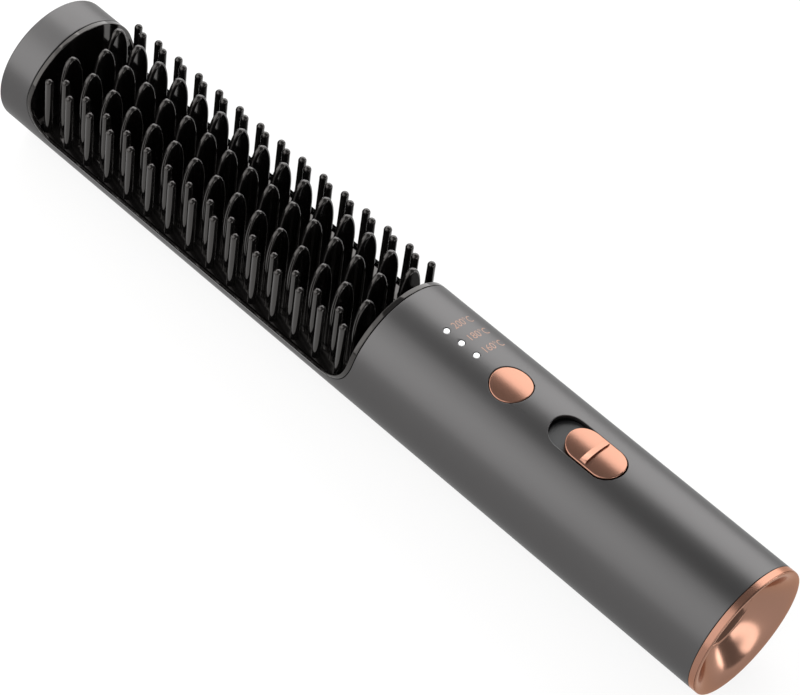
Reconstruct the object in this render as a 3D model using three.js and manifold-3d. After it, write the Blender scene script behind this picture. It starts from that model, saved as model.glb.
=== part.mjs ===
// Cordless heated straightening brush: a round metal tube with a comb in its head,
// a power button, a temperature slider, three level lights and a dished charging end.
// Millimetres. +X runs from the closed nose to the tail, +Z is the way the teeth point,
// and the origin is on the ground under the middle of the tube.
import * as THREE from 'three';
import { mergeVertices } from 'three/addons/utils/BufferGeometryUtils.js';
import Module from 'manifold-3d';

const wasm = await Module();
wasm.setup();

// Clearances
const GAP = 0.3;                 // between two seated pieces
const SLIDE_GAP = 0.4;           // round a piece that slides
const SINK = 0.2;                // how far joined forms of one piece run into each other
const OPEN_END = 1;              // how far a cut runs out past the face it opens

// Tube
const TUBE_RADIUS = 19.2;
const TUBE_WALL = 1.4;
const TUBE_FACETS = 40;
const NOSE_LENGTH = 10.7;        // nose end to the window
const WINDOW_LENGTH = 124.5;
const HANDLE_LENGTH = 118.4;     // window to the cap seam
const NOSE_WALL = 1.6;
const NOSE_EDGE_DEPTH = 1.2;     // rounded rim of the closed end, along the tube
const NOSE_EDGE_WIDTH = 3.3;     // and across it
const WINDOW_SILL = -5.0;        // height of the window's long edges, from the tube's axis
const WINDOW_CORNER = 11.5;
const RIM_WIDTH = 1.3;           // black rim inside the window, flush with the tube
const RIM_DEPTH = 0.9;

// Comb
const ROW_PITCH = 8;
const ROW_MARGIN = 6.15;         // last row to the window's tail end, and the least to the nose end
const BED_HEIGHT = -3.2;         // comb floor, from the tube's axis
const BED_EDGE_DROP = 0.9;       // the floor falls this much towards the rim
const BED_FILLET = 4.5;
const FRAME_END_WALL = 3;
const FRAME_WALL = 1.6;
const RAIL_THICKNESS = 2;
const BRISTLE_RAIL_THICKNESS = 3.2;
const RAIL_END_MARGIN = 0.6;     // rail beyond the last blade's face
const BLADE_WIDTH = 7;
const BLADE_THICKNESS = 1.8;
const BLADE_EDGE = 0.45;         // bevel round a blade's two faces
const BLADE_SPACING = 8.2;       // between blade columns
const BLADE_ARCH = 10.2;         // height of the rounded upper part
const MIDDLE_BLADE_TIP = 18.7;   // tip heights, from the tube's axis
const SIDE_BLADE_TIP = 18.0;
const INNER_PIN_TIP = 16.85;
const OUTER_PIN_TIP = 15.45;
const PIN_ROOT_RADIUS = 0.88;
const PIN_STEM_RADIUS = 0.82;
const PIN_BALL_RADIUS = 1.05;
const PIN_INSET = 0.85;          // outer pins stand this far in from the edge of the floor
const INNER_PIN_PLACE = 2.1;     // inner pins from the side blades' rail
const PIN_ROOT_DEPTH = 0.8;      // pins start this far inside their rail
const PIN_SIDES = 6;

// Heater stack under the blades
const HEATER_PLATE_THICKNESS = 2;
const CERAMIC_END_MARGIN = 6;    // from the last row, room for the heater wires' ends
const CERAMIC_WIDTH = 15;
const CERAMIC_THICKNESS = 1.3;
const CERAMIC_SPACING = 4;
const MICA_THICKNESS = 0.6;
const FUSE_RADIUS = 1.1;
const FUSE_LENGTH = 9;
const THERMISTOR_RADIUS = 0.65;
const THERMISTOR_LENGTH = 2;

// Lights and their guide, places measured from the window's tail end
const LIGHT_START = 14.3;
const LIGHT_PITCH = 5.25;
const LIGHT_COUNT = 3;
const LIGHT_RADIUS = 1.0;
const LIGHT_RECESS = 0.05;       // lens top below the top of the tube
const LIGHT_BAR_WIDTH = 3;
const LIGHT_BAR_THICKNESS = 1.2;
const LED_SIZE = [1.6, 1.2, 0.7];

// Power button
const BUTTON_PLACE = 37.0;
const BUTTON_RADIUS = 5.6;
const BUTTON_TRAVEL = 0.6;
const BUTTON_FLANGE = 1.0;       // collar that keeps the button in
const BUTTON_FLANGE_THICKNESS = 0.9;
const BUTTON_STEM_RADIUS = 2;
const TACT_SIZE = 6;
const PLUNGER_RADIUS = 1.6;

// Temperature slider
const SLOT_PLACE = 63.3;         // middle of the slot
const SLOT_LENGTH = 23.2;
const SLOT_WIDTH = 11;
const SLIDER_TRAVEL = 5.2;
const SLIDER_PROUD = 0.35;
const SLOT_FLOOR_DEPTH = 2.2;    // tray floor below the top of the tube
const TRAY_LIP = 1.5;
const TRAY_THICKNESS = 1.4;
const RIB_LENGTH = 2.3;
const RIB_HEIGHT = 1.1;
const RIB_TOE = 0.05;            // height of the wedge's low end
const RIB_ROOT = 0.6;            // wedge inside the slider
const RIB_MARGIN = 0.8;          // rib end to the slider's side
const RIB_BACK = 8.2;            // step face to the slider's tail end
const NECK_SIZE = [5, 3.6];
const LEVER_SIZE = [1.8, 1.5];
const LEVER_REACH = 1.6;         // lever above its switch
const SWITCH_SIZE = [14, 6, 3.4];
const SWITCH_ROOM = 0.4;         // slide switch to the tray's lip above it

// Circuit board
const BOARD_THICKNESS = 1.6;
const BOARD_WIDTH = 21;
const BOARD_START = 6;           // from the window's tail end
const BOARD_END_MARGIN = 7;      // beyond the slot
const BOARD_SCREW_INSET = 2.6;
const CHIP_SIZE = [7, 7, 1];
const CHARGER_CHIP_SIZE = [5, 4, 1.4];

// Chassis and battery
const CHASSIS_WALL = 1.6;
const BOARD_SEAT = 2;             // the board's edges lie this far onto the ledges
const SADDLE_LENGTH = 5;
const BATTERY_RADIUS = 9.2;
const BATTERY_LENGTH = 65;
const BATTERY_EDGE = 0.8;        // bevel of the cell's closed end
const BATTERY_CAP_RADIUS = 3;
const BATTERY_CAP_HEIGHT = 1;
const BATTERY_BACK = 21;         // cell's tail end to the cap seam
const TAB_WIDTH = 6;
const TAB_THICKNESS = 0.3;

// Tail cap and charging socket
const SEAM = 0.3;
const CAP_BAND = 1.6;
const CAP_BEVEL = 0.5;
const CAP_RIM = 0.5;             // flat rim between bevel and dish
const CAP_SPIGOT_LENGTH = 7.5;
const CAP_SPIGOT_WALL = 1.3;
const DISH_RADIUS = 28;          // radius of the polished hollow
const WELL_RADIUS = 8.7;
const WELL_DEPTH = 2.6;
const WELL_WALL = 1.3;
const PLATE_THICKNESS = 1.4;
const SEAL_SECTION = 0.55;
const SOCKET_WIDTH = 8.94;
const SOCKET_HEIGHT = 3.26;
const SOCKET_DEPTH = 7.3;
const SOCKET_WALL = 0.35;
const SOCKET_BACK = 1;           // closed rear end of the socket
const TONGUE_LENGTH = 5.1;
const TONGUE_WIDTH = 6.7;
const TONGUE_THICKNESS = 0.7;
const PORT_BOARD_WIDTH = 12;
const PORT_BOARD_LENGTH = 9;
const PORT_BOARD_THICKNESS = 1;

// Screws and wires
const SCREW_RADIUS = 1;
const SCREW_LENGTH = 5;
const SCREW_HEAD_RADIUS = 1.9;
const SCREW_HEAD_HEIGHT = 1.2;
const SCREW_HEAD_BEVEL = 0.6;
const BOSS_RADIUS = 2.5;
const BOSS_FLOOR = 0.8;
const WIRE_RADIUS = 0.6;
const WIRE_SIDES = 5;
const WIRE_END = 3;              // straight length at a soldered end
const WIRE_DIP = 1.5;            // heater wires hang this far below the board on their way

// Worked-out sizes shared by several pieces
const BORE_RADIUS = TUBE_RADIUS - TUBE_WALL;
const INSERT_RADIUS = BORE_RADIUS - GAP;
const WINDOW_START = NOSE_LENGTH;
const WINDOW_END = WINDOW_START + WINDOW_LENGTH;
const CAP_SEAM = WINDOW_END + HANDLE_LENGTH;
const TOTAL_LENGTH = CAP_SEAM + SEAM + CAP_BAND;
const FACE_HEIGHT = TUBE_RADIUS * Math.cos(Math.PI / TUBE_FACETS);

const ROWS = Math.floor((WINDOW_LENGTH - 2 * ROW_MARGIN) / ROW_PITCH) + 1;
const COMB_LENGTH = (ROWS - 1) * ROW_PITCH;
const COMB_START = WINDOW_END - ROW_MARGIN - COMB_LENGTH;
const RAIL_OVERHANG = BLADE_THICKNESS / 2 + RAIL_END_MARGIN;
const BED_EDGE_HEIGHT = BED_HEIGHT - BED_EDGE_DROP;
const RIM_INSIDE = TUBE_RADIUS - RIM_DEPTH;
const BED_HALF_WIDTH = Math.sqrt((RIM_INSIDE - GAP) ** 2 - BED_EDGE_HEIGHT ** 2);
const RAIL_SPLIT = 1.5 * BLADE_SPACING;
const OUTER_PIN_SIDE = BED_HALF_WIDTH - PIN_INSET;
const INNER_PIN_SIDE = RAIL_SPLIT + INNER_PIN_PLACE;
const CERAMIC_LENGTH = (COMB_LENGTH - CERAMIC_SPACING) / 2 - CERAMIC_END_MARGIN;
const RAIL_BOTTOM = BED_HEIGHT - RAIL_THICKNESS;
const PLATE_TOP = RAIL_BOTTOM - GAP;
const CERAMIC_TOP = PLATE_TOP - HEATER_PLATE_THICKNESS - GAP;
const MICA_TOP = CERAMIC_TOP - CERAMIC_THICKNESS - GAP;
const POCKET_FLOOR = MICA_TOP - MICA_THICKNESS - GAP;
const WIRE_HEIGHT = MICA_TOP + GAP + WIRE_RADIUS;
const BRISTLE_RAIL_BOTTOM = BED_HEIGHT - BRISTLE_RAIL_THICKNESS;

const SLIDER_LENGTH = SLOT_LENGTH - SLIDER_TRAVEL - 2 * GAP;
const SLIDER_WIDTH = SLOT_WIDTH - 2 * GAP;
const SLIDER_PLACE = SLOT_PLACE + SLIDER_TRAVEL / 2;
const TRAY_TOP = TUBE_RADIUS - SLOT_FLOOR_DEPTH;
const LIP_HALF_WIDTH = SLOT_WIDTH / 2 + TRAY_LIP;
const LIP_TOP = Math.sqrt(BORE_RADIUS ** 2 - LIP_HALF_WIDTH ** 2) - GAP;
const LIP_BOTTOM = LIP_TOP - TRAY_THICKNESS;
const SWITCH_TOP = LIP_BOTTOM - SWITCH_ROOM;
const BOARD_TOP = SWITCH_TOP - SWITCH_SIZE[2] - GAP;
const BOARD_BOTTOM = BOARD_TOP - BOARD_THICKNESS;
const BOARD_LENGTH = SLOT_PLACE + SLOT_LENGTH / 2 + BOARD_END_MARGIN - BOARD_START;
const LEVER_TOP = SWITCH_TOP + LEVER_REACH;
const FLANGE_TOP = Math.sqrt(BORE_RADIUS ** 2 - (BUTTON_RADIUS + BUTTON_FLANGE) ** 2) - GAP;
const FLANGE_BOTTOM = FLANGE_TOP - BUTTON_FLANGE_THICKNESS;
const TACT_TOP = FLANGE_BOTTOM - BUTTON_TRAVEL - 2 * GAP;

const CHASSIS_START = WINDOW_END + FRAME_END_WALL + GAP;
const CHASSIS_END = CAP_SEAM - CAP_SPIGOT_LENGTH - GAP;
const CHASSIS_TOP = BOARD_BOTTOM - GAP;
const BATTERY_AXIS = -(INSERT_RADIUS - CHASSIS_WALL - GAP - BATTERY_RADIUS);
const BATTERY_END = CAP_SEAM - BATTERY_BACK;
const BATTERY_START = BATTERY_END - BATTERY_LENGTH;

const FACE_RADIUS = TUBE_RADIUS - CAP_BEVEL;
const DISH_EDGE_RADIUS = FACE_RADIUS - CAP_RIM;
const dishHeight = (radius) => Math.sqrt(DISH_RADIUS ** 2 - radius ** 2);
const dishDepth = (radius) => dishHeight(radius) - dishHeight(DISH_EDGE_RADIUS);
const WELL_EDGE = TOTAL_LENGTH - dishDepth(WELL_RADIUS);
const WELL_FLOOR = WELL_EDGE - WELL_DEPTH;

// Finishes
const paint = (color, roughness, metalness = 0) =>
  new THREE.MeshStandardMaterial({ color, roughness, metalness, flatShading: true });
const SATIN_GREY = paint('#6f6f71', 0.35, 0.8);
const ROSE_GOLD = paint('#b98a76', 0.25, 0.9);
const GLOSS_BLACK = paint('#0a0a0a', 0.15);
const DARK_PLASTIC = paint('#2c2d30', 0.5);
const CHASSIS_PLASTIC = paint('#3a3c40', 0.6);
const BOARD_GREEN = paint('#1f5a3a', 0.5);
const CHIP_BLACK = paint('#17181a', 0.45);
const BRIGHT_METAL = paint('#b9bcc0', 0.3, 0.9);
const CAST_ALUMINIUM = paint('#a3a5a8', 0.5, 0.8);
const CERAMIC_WHITE = paint('#e9e6dc', 0.6);
const MICA = paint('#a98f63', 0.5);
const FROSTED = paint('#f4f6f8', 0.4);
const CELL_WRAP = paint('#2f6fa8', 0.4);
const RUBBER = paint('#1a1a1b', 0.8);
const RED_WIRE = paint('#b3261e', 0.5);
const BLACK_WIRE = paint('#202020', 0.5);

// Make a closed three.js geometry a solid with its faces pointing out
function solid(geometry) {
  geometry.deleteAttribute('normal');
  geometry.deleteAttribute('uv');
  const merged = mergeVertices(geometry, 1e-4);
  const at = merged.attributes.position;
  const corner = [new THREE.Vector3(), new THREE.Vector3(), new THREE.Vector3()];
  const faces = [];
  let volume = 0;
  for (let i = 0; i < merged.index.count; i += 3) {
    const [a, b, c] = [0, 1, 2].map((k) => merged.index.getX(i + k));
    if (a === b || b === c || c === a) continue;
    [a, b, c].forEach((v, k) => corner[k].fromBufferAttribute(at, v));
    volume += corner[0].dot(corner[1].clone().cross(corner[2]));
    faces.push([a, b, c]);
  }
  const outward = volume < 0 ? faces.map(([a, b, c]) => [a, c, b]) : faces;
  return new wasm.Manifold(new wasm.Mesh({
    numProp: 3,
    vertProperties: new Float32Array(at.array),
    triVerts: new Uint32Array(outward.flat()),
  }));
}

const join = (...bodies) => bodies.reduce((a, b) => a.add(b));
const cut = (body, ...tools) => tools.reduce((a, b) => a.subtract(b), body);
const moved = (body, x, y, z) => body.translate([x, y, z]);

// Name a solid, give it its material and put it at its place
function piece(name, body, material, x = 0, y = 0, z = 0) {
  const { vertProperties, triVerts } = body.getMesh();
  const geometry = new THREE.BufferGeometry();
  geometry.setAttribute('position', new THREE.BufferAttribute(new Float32Array(vertProperties), 3));
  geometry.setIndex(new THREE.BufferAttribute(new Uint32Array(triVerts), 1));
  const mesh = new THREE.Mesh(geometry, material);
  mesh.name = name;
  mesh.position.set(x, y, z);
  return mesh;
}

// Revolve [along, radius] points about the tube's axis, with a flat facet underneath
function revolve(points, sides = TUBE_FACETS) {
  const profile = points.map(([along, radius]) => new THREE.Vector2(radius, along));
  return solid(new THREE.LatheGeometry(profile, sides, Math.PI / sides).rotateZ(-Math.PI / 2));
}

// Turn [radius, height] points about an upright axis
function turn(points, sides) {
  const profile = points.map(([radius, height]) => new THREE.Vector2(radius, height));
  return solid(new THREE.LatheGeometry(profile, sides, Math.PI / sides).rotateX(Math.PI / 2));
}

const rod = (radius, height, sides = 24) =>
  solid(new THREE.CylinderGeometry(radius, radius, height, sides).rotateX(Math.PI / 2));
const longRod = (radius, length, sides = 24) =>
  solid(new THREE.CylinderGeometry(radius, radius, length, sides).rotateZ(-Math.PI / 2));
const block = (length, width, height) => solid(new THREE.BoxGeometry(length, width, height));

// A block given by its lowest and highest corners
function blockBetween([x0, y0, z0], [x1, y1, z1]) {
  return moved(block(x1 - x0, y1 - y0, z1 - z0), (x0 + x1) / 2, (y0 + y1) / 2, (z0 + z1) / 2);
}

// Turns an outline's x, y and depth to the tube's y, z and x
const ACROSS_THE_TUBE = new THREE.Matrix4().makeBasis(
  new THREE.Vector3(0, 1, 0),
  new THREE.Vector3(0, 0, 1),
  new THREE.Vector3(1, 0, 0),
);

// Extrude an outline drawn across the tube (y, z) along it, from x = 0
function extrudeAlong(shape, length, curveSegments = 12) {
  const geometry = new THREE.ExtrudeGeometry(shape, { depth: length, bevelEnabled: false, curveSegments });
  return solid(geometry.applyMatrix4(ACROSS_THE_TUBE));
}

// Extrude an outline drawn on the tube's side (x, z) right across it
function extrudeAcross(shape, width, curveSegments = 6) {
  const geometry = new THREE.ExtrudeGeometry(shape, { depth: width, bevelEnabled: false, curveSegments });
  return moved(solid(geometry.rotateX(Math.PI / 2)), 0, width / 2, 0);
}

// A slot outline with round ends, seen from above
function stadium(length, width) {
  const radius = width / 2;
  const reach = length / 2 - radius;
  const shape = new THREE.Shape();
  shape.absarc(reach, 0, radius, -Math.PI / 2, Math.PI / 2);
  shape.absarc(-reach, 0, radius, Math.PI / 2, 3 * Math.PI / 2);
  shape.closePath();
  return shape;
}

// An upright prism of that outline between two heights
function slotPrism(length, width, bottom, top, curveSegments = 6) {
  const settings = { depth: top - bottom, bevelEnabled: false, curveSegments };
  return moved(solid(new THREE.ExtrudeGeometry(stadium(length, width), settings)), 0, 0, bottom);
}

// The round bar that insert pieces are trimmed to
const tubeBar = (radius, start, end) =>
  revolve([[start, 0], [start, radius], [end, radius], [end, 0]]);

// Side view of a cut that is open at the top and has two rounded lower corners
function openTray(start, end, bottom, corner) {
  const top = TUBE_RADIUS + OPEN_END;
  const shape = new THREE.Shape();
  shape.moveTo(start, top);
  shape.lineTo(start, bottom + corner);
  shape.absarc(start + corner, bottom + corner, corner, Math.PI, 1.5 * Math.PI);
  shape.lineTo(end - corner, bottom);
  shape.absarc(end - corner, bottom + corner, corner, 1.5 * Math.PI, 2 * Math.PI);
  shape.lineTo(end, top);
  shape.closePath();
  return shape;
}

// The window's outline cut right across, moved in from the tube's cut by that much
function windowCut(inset) {
  const outline = openTray(
    WINDOW_START + inset, WINDOW_END - inset, WINDOW_SILL + inset, WINDOW_CORNER - inset,
  );
  return extrudeAcross(outline, 4 * TUBE_RADIUS);
}

// Drawn metal tube: closed nose, long window for the comb, holes for the controls
function housingTube() {
  const nose = [];
  const steps = 3;
  for (let i = 0; i <= steps; i++) {
    const turned = (i / steps) * (Math.PI / 2);
    nose.push([
      NOSE_EDGE_DEPTH * (1 - Math.sin(turned)),
      TUBE_RADIUS - NOSE_EDGE_WIDTH * (1 - Math.cos(turned)),
    ]);
  }
  const shell = revolve([
    [0, 0],
    ...nose.reverse(),
    [CAP_SEAM, TUBE_RADIUS],
    [CAP_SEAM, BORE_RADIUS],
    [NOSE_WALL, BORE_RADIUS],
    [NOSE_WALL, 0],
  ]);
  const buttonHole = moved(
    rod(BUTTON_RADIUS + GAP, TUBE_RADIUS, 28),
    WINDOW_END + BUTTON_PLACE, 0, TUBE_RADIUS,
  );
  const slot = moved(
    slotPrism(SLOT_LENGTH, SLOT_WIDTH, 0, 2 * TUBE_RADIUS),
    WINDOW_END + SLOT_PLACE, 0, 0,
  );
  const lightHoles = lightPlaces().map((x) =>
    moved(rod(LIGHT_RADIUS + GAP, TUBE_RADIUS, 12), WINDOW_END + x, 0, TUBE_RADIUS));
  return piece('housing_tube', cut(shell, windowCut(0), buttonHole, slot, ...lightHoles), SATIN_GREY);
}

const lightPlaces = () =>
  Array.from({ length: LIGHT_COUNT }, (_, i) => LIGHT_START + i * LIGHT_PITCH);

// Black moulded carrier that fills the head under the window and walls off both its ends,
// with a rim that fills the edge of the window flush with the tube
function combFrame() {
  const start = WINDOW_START - FRAME_END_WALL;
  const end = WINDOW_END + FRAME_END_WALL;
  const inset = GAP + RIM_WIDTH;
  const rim = tubeBar(TUBE_RADIUS, start, end).intersect(windowCut(GAP));
  const trough = extrudeAcross(
    openTray(WINDOW_START + inset, WINDOW_END - inset, BED_HEIGHT, BED_FILLET),
    4 * TUBE_RADIUS,
  );
  const from = COMB_START - RAIL_OVERHANG - GAP;
  const to = COMB_START + COMB_LENGTH + RAIL_OVERHANG + GAP;
  const ledges = blockBetween(
    [from, -TUBE_RADIUS, BRISTLE_RAIL_BOTTOM - GAP],
    [to, TUBE_RADIUS, TUBE_RADIUS],
  );
  const inside = tubeBar(RIM_INSIDE, start, end);
  const pocket = blockBetween(
    [from, -RAIL_SPLIT + GAP, POCKET_FLOOR],
    [to, RAIL_SPLIT - GAP, TUBE_RADIUS],
  );
  const ductTop = POCKET_FLOOR - FRAME_WALL;
  const open = end + OPEN_END;
  const duct = tubeBar(INSERT_RADIUS - FRAME_WALL, start + FRAME_WALL, open)
    .intersect(blockBetween([start, -TUBE_RADIUS, -TUBE_RADIUS], [open, TUBE_RADIUS, ductTop]));
  const wayLength = open - to + ROW_PITCH / 2;
  const wireWay = moved(longRod(3 * WIRE_RADIUS, wayLength, 12), open - wayLength / 2, 0, WIRE_HEIGHT);
  const body = cut(
    join(tubeBar(INSERT_RADIUS, start, end), rim),
    windowCut(inset), join(trough, ledges).intersect(inside), pocket, duct, wireWay,
  );
  return piece('comb_frame', body, GLOSS_BLACK);
}

// One blade: flat sides below a rounded arch, bevelled all round, standing at x = 0
function blade(tip) {
  const half = BLADE_WIDTH / 2;
  const foot = BED_HEIGHT - RAIL_THICKNESS / 2;
  const shape = new THREE.Shape();
  shape.moveTo(-half, foot);
  shape.lineTo(half, foot);
  shape.absellipse(0, tip - BLADE_ARCH, half, BLADE_ARCH, 0, Math.PI);
  shape.closePath();
  const geometry = new THREE.ExtrudeGeometry(shape, {
    depth: BLADE_THICKNESS - 2 * BLADE_EDGE,
    bevelThickness: BLADE_EDGE,
    bevelSize: BLADE_EDGE,
    bevelOffset: -BLADE_EDGE,
    bevelSegments: 1,
    curveSegments: 4,
  });
  const body = solid(geometry.applyMatrix4(ACROSS_THE_TUBE));
  return moved(body, BLADE_EDGE - BLADE_THICKNESS / 2, 0, 0);
}

// A column of blades cast on one rail; x = 0 is the comb's first full row
function bladeStrip(name, count, offset, tip, side) {
  const rail = blockBetween(
    [-RAIL_OVERHANG, -BLADE_SPACING / 2 + GAP / 2, RAIL_BOTTOM],
    [COMB_LENGTH + RAIL_OVERHANG, BLADE_SPACING / 2 - GAP / 2, BED_HEIGHT],
  );
  const one = blade(tip);
  const blades = Array.from({ length: count }, (_, i) => moved(one, offset + i * ROW_PITCH, 0, 0));
  return piece(name, join(rail, ...blades), GLOSS_BLACK, 0, side * BLADE_SPACING, 0);
}

// One round pin with a small ball at its tip, whose neck and shoulder lie at 45 degrees
function pin(tip) {
  const centre = tip - PIN_BALL_RADIUS;
  const slant = PIN_BALL_RADIUS * Math.SQRT1_2;
  return turn([
    [0, BED_EDGE_HEIGHT - PIN_ROOT_DEPTH],
    [PIN_ROOT_RADIUS, BED_EDGE_HEIGHT - PIN_ROOT_DEPTH],
    [PIN_STEM_RADIUS, centre - slant],
    [PIN_BALL_RADIUS, centre],
    [slant, centre + slant],
    [0, tip],
  ], PIN_SIDES);
}

// Two staggered rows of pins on a strip that slopes down to the rim
function bristleStrip(name, side) {
  const inner = RAIL_SPLIT + GAP / 2;
  const shape = new THREE.Shape();
  shape.moveTo(inner, BRISTLE_RAIL_BOTTOM);
  shape.lineTo(TUBE_RADIUS, BRISTLE_RAIL_BOTTOM);
  shape.lineTo(TUBE_RADIUS, BED_EDGE_HEIGHT);
  shape.lineTo(BED_HALF_WIDTH, BED_EDGE_HEIGHT);
  shape.lineTo(INNER_PIN_SIDE, BED_HEIGHT);
  shape.lineTo(inner, BED_HEIGHT);
  shape.closePath();
  const length = COMB_LENGTH + 2 * RAIL_OVERHANG;
  const rail = moved(extrudeAlong(shape, length), -RAIL_OVERHANG, 0, 0);
  const from = -2 * RAIL_OVERHANG;
  const overSill = join(
    tubeBar(RIM_INSIDE - GAP, from, length),
    blockBetween([from, 0, BED_EDGE_HEIGHT], [length, 2 * TUBE_RADIUS, 2 * TUBE_RADIUS]),
  ).intersect(moved(windowCut(GAP), -COMB_START, 0, 0));
  const room = join(tubeBar(INSERT_RADIUS, from, length), overSill);
  const outerPin = pin(OUTER_PIN_TIP);
  const innerPin = pin(INNER_PIN_TIP);
  const pins = [];
  for (let i = 0; i < ROWS; i++) pins.push(moved(outerPin, i * ROW_PITCH, OUTER_PIN_SIDE, 0));
  for (let i = 0; i < ROWS - 1; i++) {
    pins.push(moved(innerPin, (i + 0.5) * ROW_PITCH, INNER_PIN_SIDE, 0));
  }
  const strip = join(rail, ...pins).intersect(room);
  return piece(name, side < 0 ? strip.mirror([0, 1, 0]) : strip, GLOSS_BLACK);
}

// Heater plate, two ceramic heaters and the sheet that keeps their heat off the frame
function heaterStack() {
  const length = COMB_LENGTH + 2 * RAIL_OVERHANG;
  const half = RAIL_SPLIT - 2 * GAP;
  const plate = blockBetween(
    [-RAIL_OVERHANG, -half, PLATE_TOP - HEATER_PLATE_THICKNESS],
    [length - RAIL_OVERHANG, half, PLATE_TOP],
  );
  const groove = blockBetween(
    [COMB_LENGTH / 2 - FUSE_LENGTH, half - 4 * FUSE_RADIUS, PLATE_TOP - 2 * HEATER_PLATE_THICKNESS],
    [COMB_LENGTH / 2 + FUSE_LENGTH, half + OPEN_END, PLATE_TOP - HEATER_PLATE_THICKNESS / 2],
  );
  const ceramic = block(CERAMIC_LENGTH, CERAMIC_WIDTH, CERAMIC_THICKNESS);
  const reach = (CERAMIC_LENGTH + CERAMIC_SPACING) / 2;
  const height = CERAMIC_TOP - CERAMIC_THICKNESS / 2;
  const sheet = block(length, 2 * half, MICA_THICKNESS);
  const beside = half - 2 * FUSE_RADIUS;
  return [
    piece('heater_plate', cut(plate, groove), CAST_ALUMINIUM),
    piece('ceramic_heater_front', ceramic, CERAMIC_WHITE, COMB_LENGTH / 2 - reach, 0, height),
    piece('ceramic_heater_rear', ceramic, CERAMIC_WHITE, COMB_LENGTH / 2 + reach, 0, height),
    piece('mica_sheet', sheet, MICA, COMB_LENGTH / 2, 0, MICA_TOP - MICA_THICKNESS / 2),
    piece(
      'thermal_fuse', longRod(FUSE_RADIUS, FUSE_LENGTH, 12), BRIGHT_METAL,
      COMB_LENGTH / 2, beside, MICA_TOP + GAP + FUSE_RADIUS,
    ),
    piece(
      'thermistor', longRod(THERMISTOR_RADIUS, THERMISTOR_LENGTH, 10), CERAMIC_WHITE,
      COMB_LENGTH / 2, -beside, MICA_TOP + GAP + THERMISTOR_RADIUS,
    ),
  ];
}

// Clear guide: three posts that end flush in the tube, tied by one bar under it
function lightGuide() {
  const barTop = BORE_RADIUS - 2 * GAP;
  const foot = BOARD_TOP + GAP + LED_SIZE[2] + GAP;
  const tip = TUBE_RADIUS - LIGHT_RECESS;
  const places = lightPlaces();
  const bar = blockBetween(
    [places[0] - LIGHT_BAR_WIDTH / 2, -LIGHT_BAR_WIDTH / 2, barTop - LIGHT_BAR_THICKNESS],
    [places[LIGHT_COUNT - 1] + LIGHT_BAR_WIDTH / 2, LIGHT_BAR_WIDTH / 2, barTop],
  );
  const posts = places.map((x) => moved(rod(LIGHT_RADIUS, tip - foot, 8), x, 0, (tip + foot) / 2));
  return piece('light_guide', join(bar, ...posts), FROSTED);
}

// Round power button, its top curved with the tube, a collar and a stem below
function powerButton() {
  const capFoot = FLANGE_TOP - SINK;
  const cap = turn([
    [0, capFoot],
    [BUTTON_RADIUS, capFoot],
    [BUTTON_RADIUS, TUBE_RADIUS + OPEN_END],
    [0, TUBE_RADIUS + OPEN_END],
  ], 28).intersect(tubeBar(TUBE_RADIUS, -TUBE_RADIUS, TUBE_RADIUS));
  const collar = moved(
    rod(BUTTON_RADIUS + BUTTON_FLANGE, BUTTON_FLANGE_THICKNESS, 28),
    0, 0, FLANGE_TOP - BUTTON_FLANGE_THICKNESS / 2,
  );
  const foot = TACT_TOP + BUTTON_TRAVEL + GAP;
  const stem = moved(
    rod(BUTTON_STEM_RADIUS, FLANGE_TOP - foot, 16), 0, 0, (FLANGE_TOP + foot) / 2,
  );
  return piece('power_button', join(cap, collar, stem), ROSE_GOLD, BUTTON_PLACE, 0, 0);
}

// Tact switch under the button: a square body with a well for its plunger
function tactSwitch() {
  const bottom = BOARD_TOP + GAP;
  const height = TACT_TOP - bottom;
  const well = moved(
    rod(PLUNGER_RADIUS + GAP, height, 16), 0, 0, bottom + height / 2 + 2 * GAP,
  );
  const body = moved(block(TACT_SIZE, TACT_SIZE, height), 0, 0, bottom + height / 2);
  const plungerTop = TACT_TOP + BUTTON_TRAVEL;
  const plungerFoot = bottom + 3 * GAP + BUTTON_TRAVEL;
  return [
    piece('tact_switch', cut(body, well), CHIP_BLACK, BUTTON_PLACE, 0, 0),
    piece(
      'switch_plunger', rod(PLUNGER_RADIUS, plungerTop - plungerFoot, 16), BRIGHT_METAL,
      BUTTON_PLACE, 0, (plungerTop + plungerFoot) / 2,
    ),
  ];
}

// Dark floor of the slider's slot, with a lip under the tube and a slit for the neck
function slideTray() {
  const lip = slotPrism(SLOT_LENGTH + 2 * TRAY_LIP, 2 * LIP_HALF_WIDTH, LIP_BOTTOM, LIP_TOP);
  const floor = slotPrism(SLOT_LENGTH - 2 * GAP, SLOT_WIDTH - 2 * GAP, LIP_BOTTOM, TRAY_TOP);
  const slit = block(
    NECK_SIZE[0] + SLIDER_TRAVEL + 2 * SLIDE_GAP, NECK_SIZE[1] + 2 * SLIDE_GAP, 4 * TUBE_RADIUS,
  );
  return piece('slide_tray', cut(join(lip, floor), slit), DARK_PLASTIC, SLOT_PLACE, 0, 0);
}

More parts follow.
